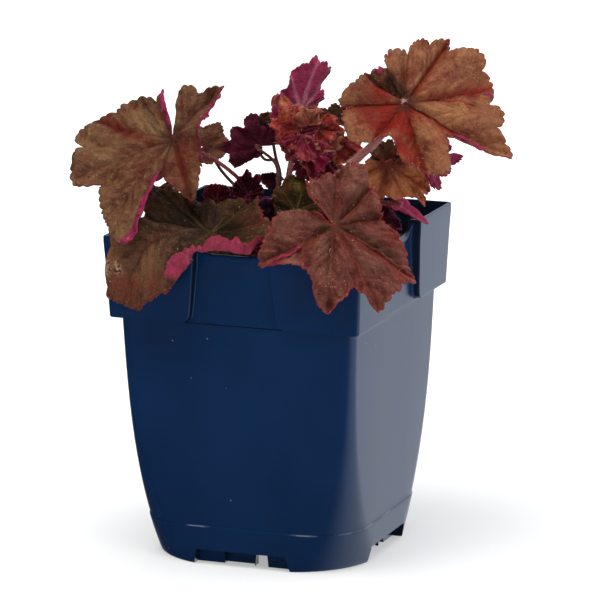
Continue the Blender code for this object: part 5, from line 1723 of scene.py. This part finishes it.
# A thin stalk with a side shoot, one small bract and a dried leaf at its top.
stalk = {
    "root": (-4.3, 2.5),
    "main": ((-2.5, 3.0, 140.0), (-0.3, 1.5, 152.0), (-2.0, 1.0, 160.0), (-3.5, 1.5, 167.0),
             (-4.0, 1.2, 172.5)),
    "shoot": ((-2.0, 1.0, 159.0), (-6.0, -0.5, 159.0), (-8.5, -1.0, 162.0)),
    "thick": 0.8, "thin": 0.6,
}
stalkLeaves = {
    "dried": {
        **smallLeaf, "finish": "umber", "ruffle": (5.0, 0.8),
        "at": (-4.0, 1.2, 172.5), "mid": (-0.25, -0.1, 0.93), "top": (0.35, -0.9, 0.2),
        "veins": (-80, 0, 80),
        "rows": (
            (-140, 4, 0), (-95, 5, 1), (-60, 5.5, 2), (-30, 6, 2), (0, 6, 1), (30, 7, 0),
            (48, 9.5, 1), (70, 6, 1), (100, 4.5, 1), (140, 4, 0),
        ),
    },
    "bract": {
        **smallLeaf,
        "at": (-1.1, 2.0, 149.0), "mid": (-0.85, -0.4, 0.35), "top": (0.3, -0.9, 0.3),
        "veins": (-60, 0, 60),
        "rows": (
            (-120, 2.5, 0), (-60, 3.5, 1), (-25, 6, 1), (0, 8.5, 0), (25, 6, 1), (60, 3.5, 1),
            (120, 2.5, 0),
        ),
    },
}

curlRows = (  # the shape of a small curled blade, with its reach and rise as shares of its size
    (-88, 0.5, 0.1), (-74, 0.8, 0.3), (-60, 0.7, 0.0), (-46, 0.95, -0.25), (-32, 0.8, 0.15),
    (-16, 1.05, 0.4), (0, 0.9, 0.05), (14, 1.1, -0.3), (28, 0.85, 0.1), (44, 1.0, 0.4),
    (58, 0.75, 0.1), (72, 0.85, -0.2), (88, 0.5, 0.1),
)
curlSettings = {
    **smallLeaf, "rings": 16, "spacing": 0.6, "pleat": 0.5, "bank": 0.3, "toothTall": 0.9,
    "frill": 1.8, "ruffle": (7.0, 0.8), "hair": 0.5, "veins": (-50, 5, 48),
}


def curlLeaf(at, mid, top, reach):
    rows = [(angle, reach * far, reach * rise) for angle, far, rise in curlRows]
    return {**curlSettings, "at": at, "mid": mid, "top": top, "rows": rows}


def makeLeafPiece(node, leaf, seed):
    first, *others = node.split("_")
    name = first + "".join(part.capitalize() for part in others)
    finish = leafMaterials[leaf.get("finish", leaf["colour"])]
    blade = makeBlade(name, leaf, seed, finish)
    stem = makeStem("stem", stemPath(leaf), leaf["thick"], leaf["thin"],
                    stemMaterials[leaf.get("stem", "pink")], leaf.get("stemHair", 0.4))
    curls = [
        makeBlade("curl", curlLeaf(*given), seed + k, leafMaterials[kind])
        for k, (*given, kind) in enumerate(leaf.get("curls", ()))
    ]
    return joined(name, [blade, stem, *curls])


leafSeed, leafSeedStep, stalkSeed = 100, 7, 300
leafPieces = {
    node: makeLeafPiece(node, leaf, leafSeed + leafSeedStep * number)
    for number, (node, leaf) in enumerate(leaves.items())
}
stalkParts = [
    makeStem("flowerStalk", [*stemFoot(stalk["root"]), *stalk["main"]],
             stalk["thick"], stalk["thin"], stemMaterials["dark"]),
    makeStem("shoot", stalk["shoot"], stalk["thin"], stalk["thin"], stemMaterials["dark"]),
]
for number, (node, leaf) in enumerate(stalkLeaves.items()):
    finish = leafMaterials[leaf.get("finish", "maroon")]
    stalkParts.append(makeBlade(node, leaf, stalkSeed + number, finish))
leafPieces["flower_stalk"] = joined("flowerStalk", stalkParts)
print("leaves:", faceCount(*leafPieces.values()), "faces")


def makePlain(name, tint, rough):
    material, tree, shader = principled(name)
    tone = ranged(tree, noiseNode(tree, placeNode(tree), 0.8, 2.0), 0.3, 0.7)
    pale, deep = colour(*tint), colour(*(0.8 * part for part in tint))
    tree.links.new(mixColour(tree, tone, pale, deep), shader.inputs["Base Color"])
    shader.inputs["Roughness"].default_value = rough
    return material


hairSettings = {
    "Per Square Metre": 1.1e6, "Grow Mask": "hairMask", "Least Length": 0.6 * mm,
    "Most Length": 1.5 * mm, "Width": 0.1 * mm, "Lean": 0.7, "Seed": 4,
    "Finish": makePlain("paleHair", (226, 196, 190), 0.5),
}
dustSettings = {
    "Per Square Metre": 8e4, "Grow Mask": "grainMask", "Least Size": 0.25 * mm,
    "Most Size": 0.6 * mm, "Seed": 9, "Finish": makePlain("paleDust", (176, 138, 112), 0.8),
}
leafHairs = scattered("leafHairs", shortHairs, leafPieces.values(), hairSettings)
leafDust = scattered("leafDust", scatteredGrains, leafPieces.values(), dustSettings)
print("hairs:", faceCount(leafHairs), "faces, dust:", faceCount(leafDust), "faces")


# the piece that replaces each node, and the pieces that replace none, each with a slot name
replaced = {"pot": potShell, "soil": soilBed, "crown": crownKnob, **leafPieces}
looseSlots = ((soilGrains, "soil_brown"), (leafHairs, "leaf_rose"), (leafDust, "leaf_rose"))


def keepInside(piece, slack=0.02):
    # no point of a piece lies outside the part's box
    low, high = (np.array(corner) / mm for corner in cadBox)
    spots = np.empty(len(piece.data.vertices) * 3, np.float32)
    piece.data.vertices.foreach_get("co", spots)
    held = np.clip(spots.reshape(-1, 3) / mm, low + slack, high - slack) * mm
    piece.data.vertices.foreach_set("co", held.astype(np.float32).ravel())
    piece.data.update()


for node, piece in replaced.items():
    keepInside(piece)
    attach(piece, "root")
    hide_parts(node)
for piece, slot in looseSlots:
    keepInside(piece)
    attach(piece, "root")


# the view that was fitted to the reference
cameraSettings = {
    "azimuth": 21.047, "elevation": 12.835, "distance": 1922.8, "lens": 283.31, "roll": -0.346,
    "aimRight": 7.94, "aimUp": 101.0, "sensor": 36.0, "clipFrom": 0.05,
}


def makeCamera():
    s = cameraSettings
    a, e, roll = (math.radians(s[key]) for key in ("azimuth", "elevation", "roll"))
    back = np.array([math.sin(a) * math.cos(e), -math.cos(a) * math.cos(e), math.sin(e)])
    right = np.array([math.cos(a), math.sin(a), 0.0])
    up = np.cross(back, right)
    across = math.cos(roll) * right + math.sin(roll) * up
    upright = -math.sin(roll) * right + math.cos(roll) * up
    place = back * s["distance"] + right * s["aimRight"] + np.array([0, 0, s["aimUp"]])
    place = place + potAxis
    data = bpy.data.cameras.new("camera")
    data.lens = s["lens"]
    data.sensor_width = s["sensor"]
    data.clip_start = s["clipFrom"]
    camera = bpy.data.objects.new("camera", data)
    scene.collection.objects.link(camera)
    camera.matrix_world = Matrix(
        [[across[k], upright[k], back[k], place[k] * mm] for k in range(3)] + [[0, 0, 0, 1]]
    )
    scene.camera = camera


lightSettings = {
    "key": {"place": (-300, -650, 1700), "size": 1300, "power": 23.0},
    "top": {"place": (60, 0, 1800), "size": 1500, "power": 16.0},
    "front": {"place": (500, -1700, 500), "size": 1200, "power": 5.0},
    "fill": {"place": (1500, -900, 700), "size": 1000, "power": 7.0},
}


def makeLights():  # left out of reflections, so that the pot's front stays deep
    aim = Vector((0, 0, 0.13))  # the rim of the pot, in metres
    for name, s in lightSettings.items():
        data = bpy.data.lights.new(name, "AREA")
        data.shape = "DISK"
        data.size = s["size"] * mm
        data.energy = s["power"]
        light = bpy.data.objects.new(name, data)
        scene.collection.objects.link(light)
        light.location = Vector(s["place"]) * mm
        way = aim - light.location
        light.rotation_euler = way.to_track_quat("-Z", "Y").to_euler()
        light.visible_glossy = False


worldSettings = {
    "seen": 1.0, "dark": 0.03, "bright": 1.0, "toward": (0.7, 0.7, 0.0),
    "tint": (0.9, 0.95, 1, 1),
}


def makeWorld():
    # white where the camera looks, and otherwise a room that is bright behind and to the right
    s = worldSettings
    world = bpy.data.worlds.new("studio")
    scene.world = world
    world.use_nodes = True
    tree = world.node_tree
    background = tree.nodes["Background"]
    way = addNode(tree, "ShaderNodeTexCoord").outputs["Generated"]
    facing = vectorMaths(tree, "DOT_PRODUCT", way, s["toward"])
    room = ranged(tree, facing, -0.1, 0.8, s["dark"], s["bright"])
    seen = addNode(tree, "ShaderNodeLightPath").outputs["Is Camera Ray"]
    unseen = maths(tree, "SUBTRACT", 1.0, seen)
    strength = maths(tree, "ADD", maths(tree, "MULTIPLY", unseen, room),
                     maths(tree, "MULTIPLY", seen, s["seen"]))
    background.inputs["Color"].default_value = s["tint"]
    tree.links.new(strength, background.inputs["Strength"])


floorSettings = {
    "reach": 4000.0, "albedo": 0.62, "rough": 0.9, "shine": 0.1, "glowNear": 0.38, "glowFar": 1.0,
    "near": 110.0, "far": 900.0,
}


def makeFloor():
    # its glow grows away from the pot, so that it stays white and still takes the soft shadow
    s = floorSettings
    material, tree, shader = principled("floorWhite")
    place = placeNode(tree)
    tone = ranged(tree, noiseNode(tree, place, 0.002, 2.0), 0.3, 0.7)
    pale, deep = ((s["albedo"] * share,) * 3 + (1,) for share in (1.0, 0.98))
    tree.links.new(mixColour(tree, tone, pale, deep), shader.inputs["Base Color"])
    shader.inputs["Roughness"].default_value = s["rough"]
    shader.inputs["Specular IOR Level"].default_value = s["shine"]
    away = vectorMaths(tree, "LENGTH", place)
    glow = ranged(tree, away, s["near"], s["far"], s["glowNear"], s["glowFar"])
    shader.inputs["Emission Color"].default_value = (1, 1, 1, 1)
    tree.links.new(glow, shader.inputs["Emission Strength"])
    reach = s["reach"]
    points = [(-reach, -reach, 0), (reach, -reach, 0), (reach, reach, 0), (-reach, reach, 0)]
    floor = newPiece("floor", points, [(0, 1, 2, 3)], [material])
    floor.visible_glossy = False


makeCamera()
makeLights()
makeWorld()
makeFloor()
scene.view_settings.view_transform = "Standard"
print("camera, light and floor set")
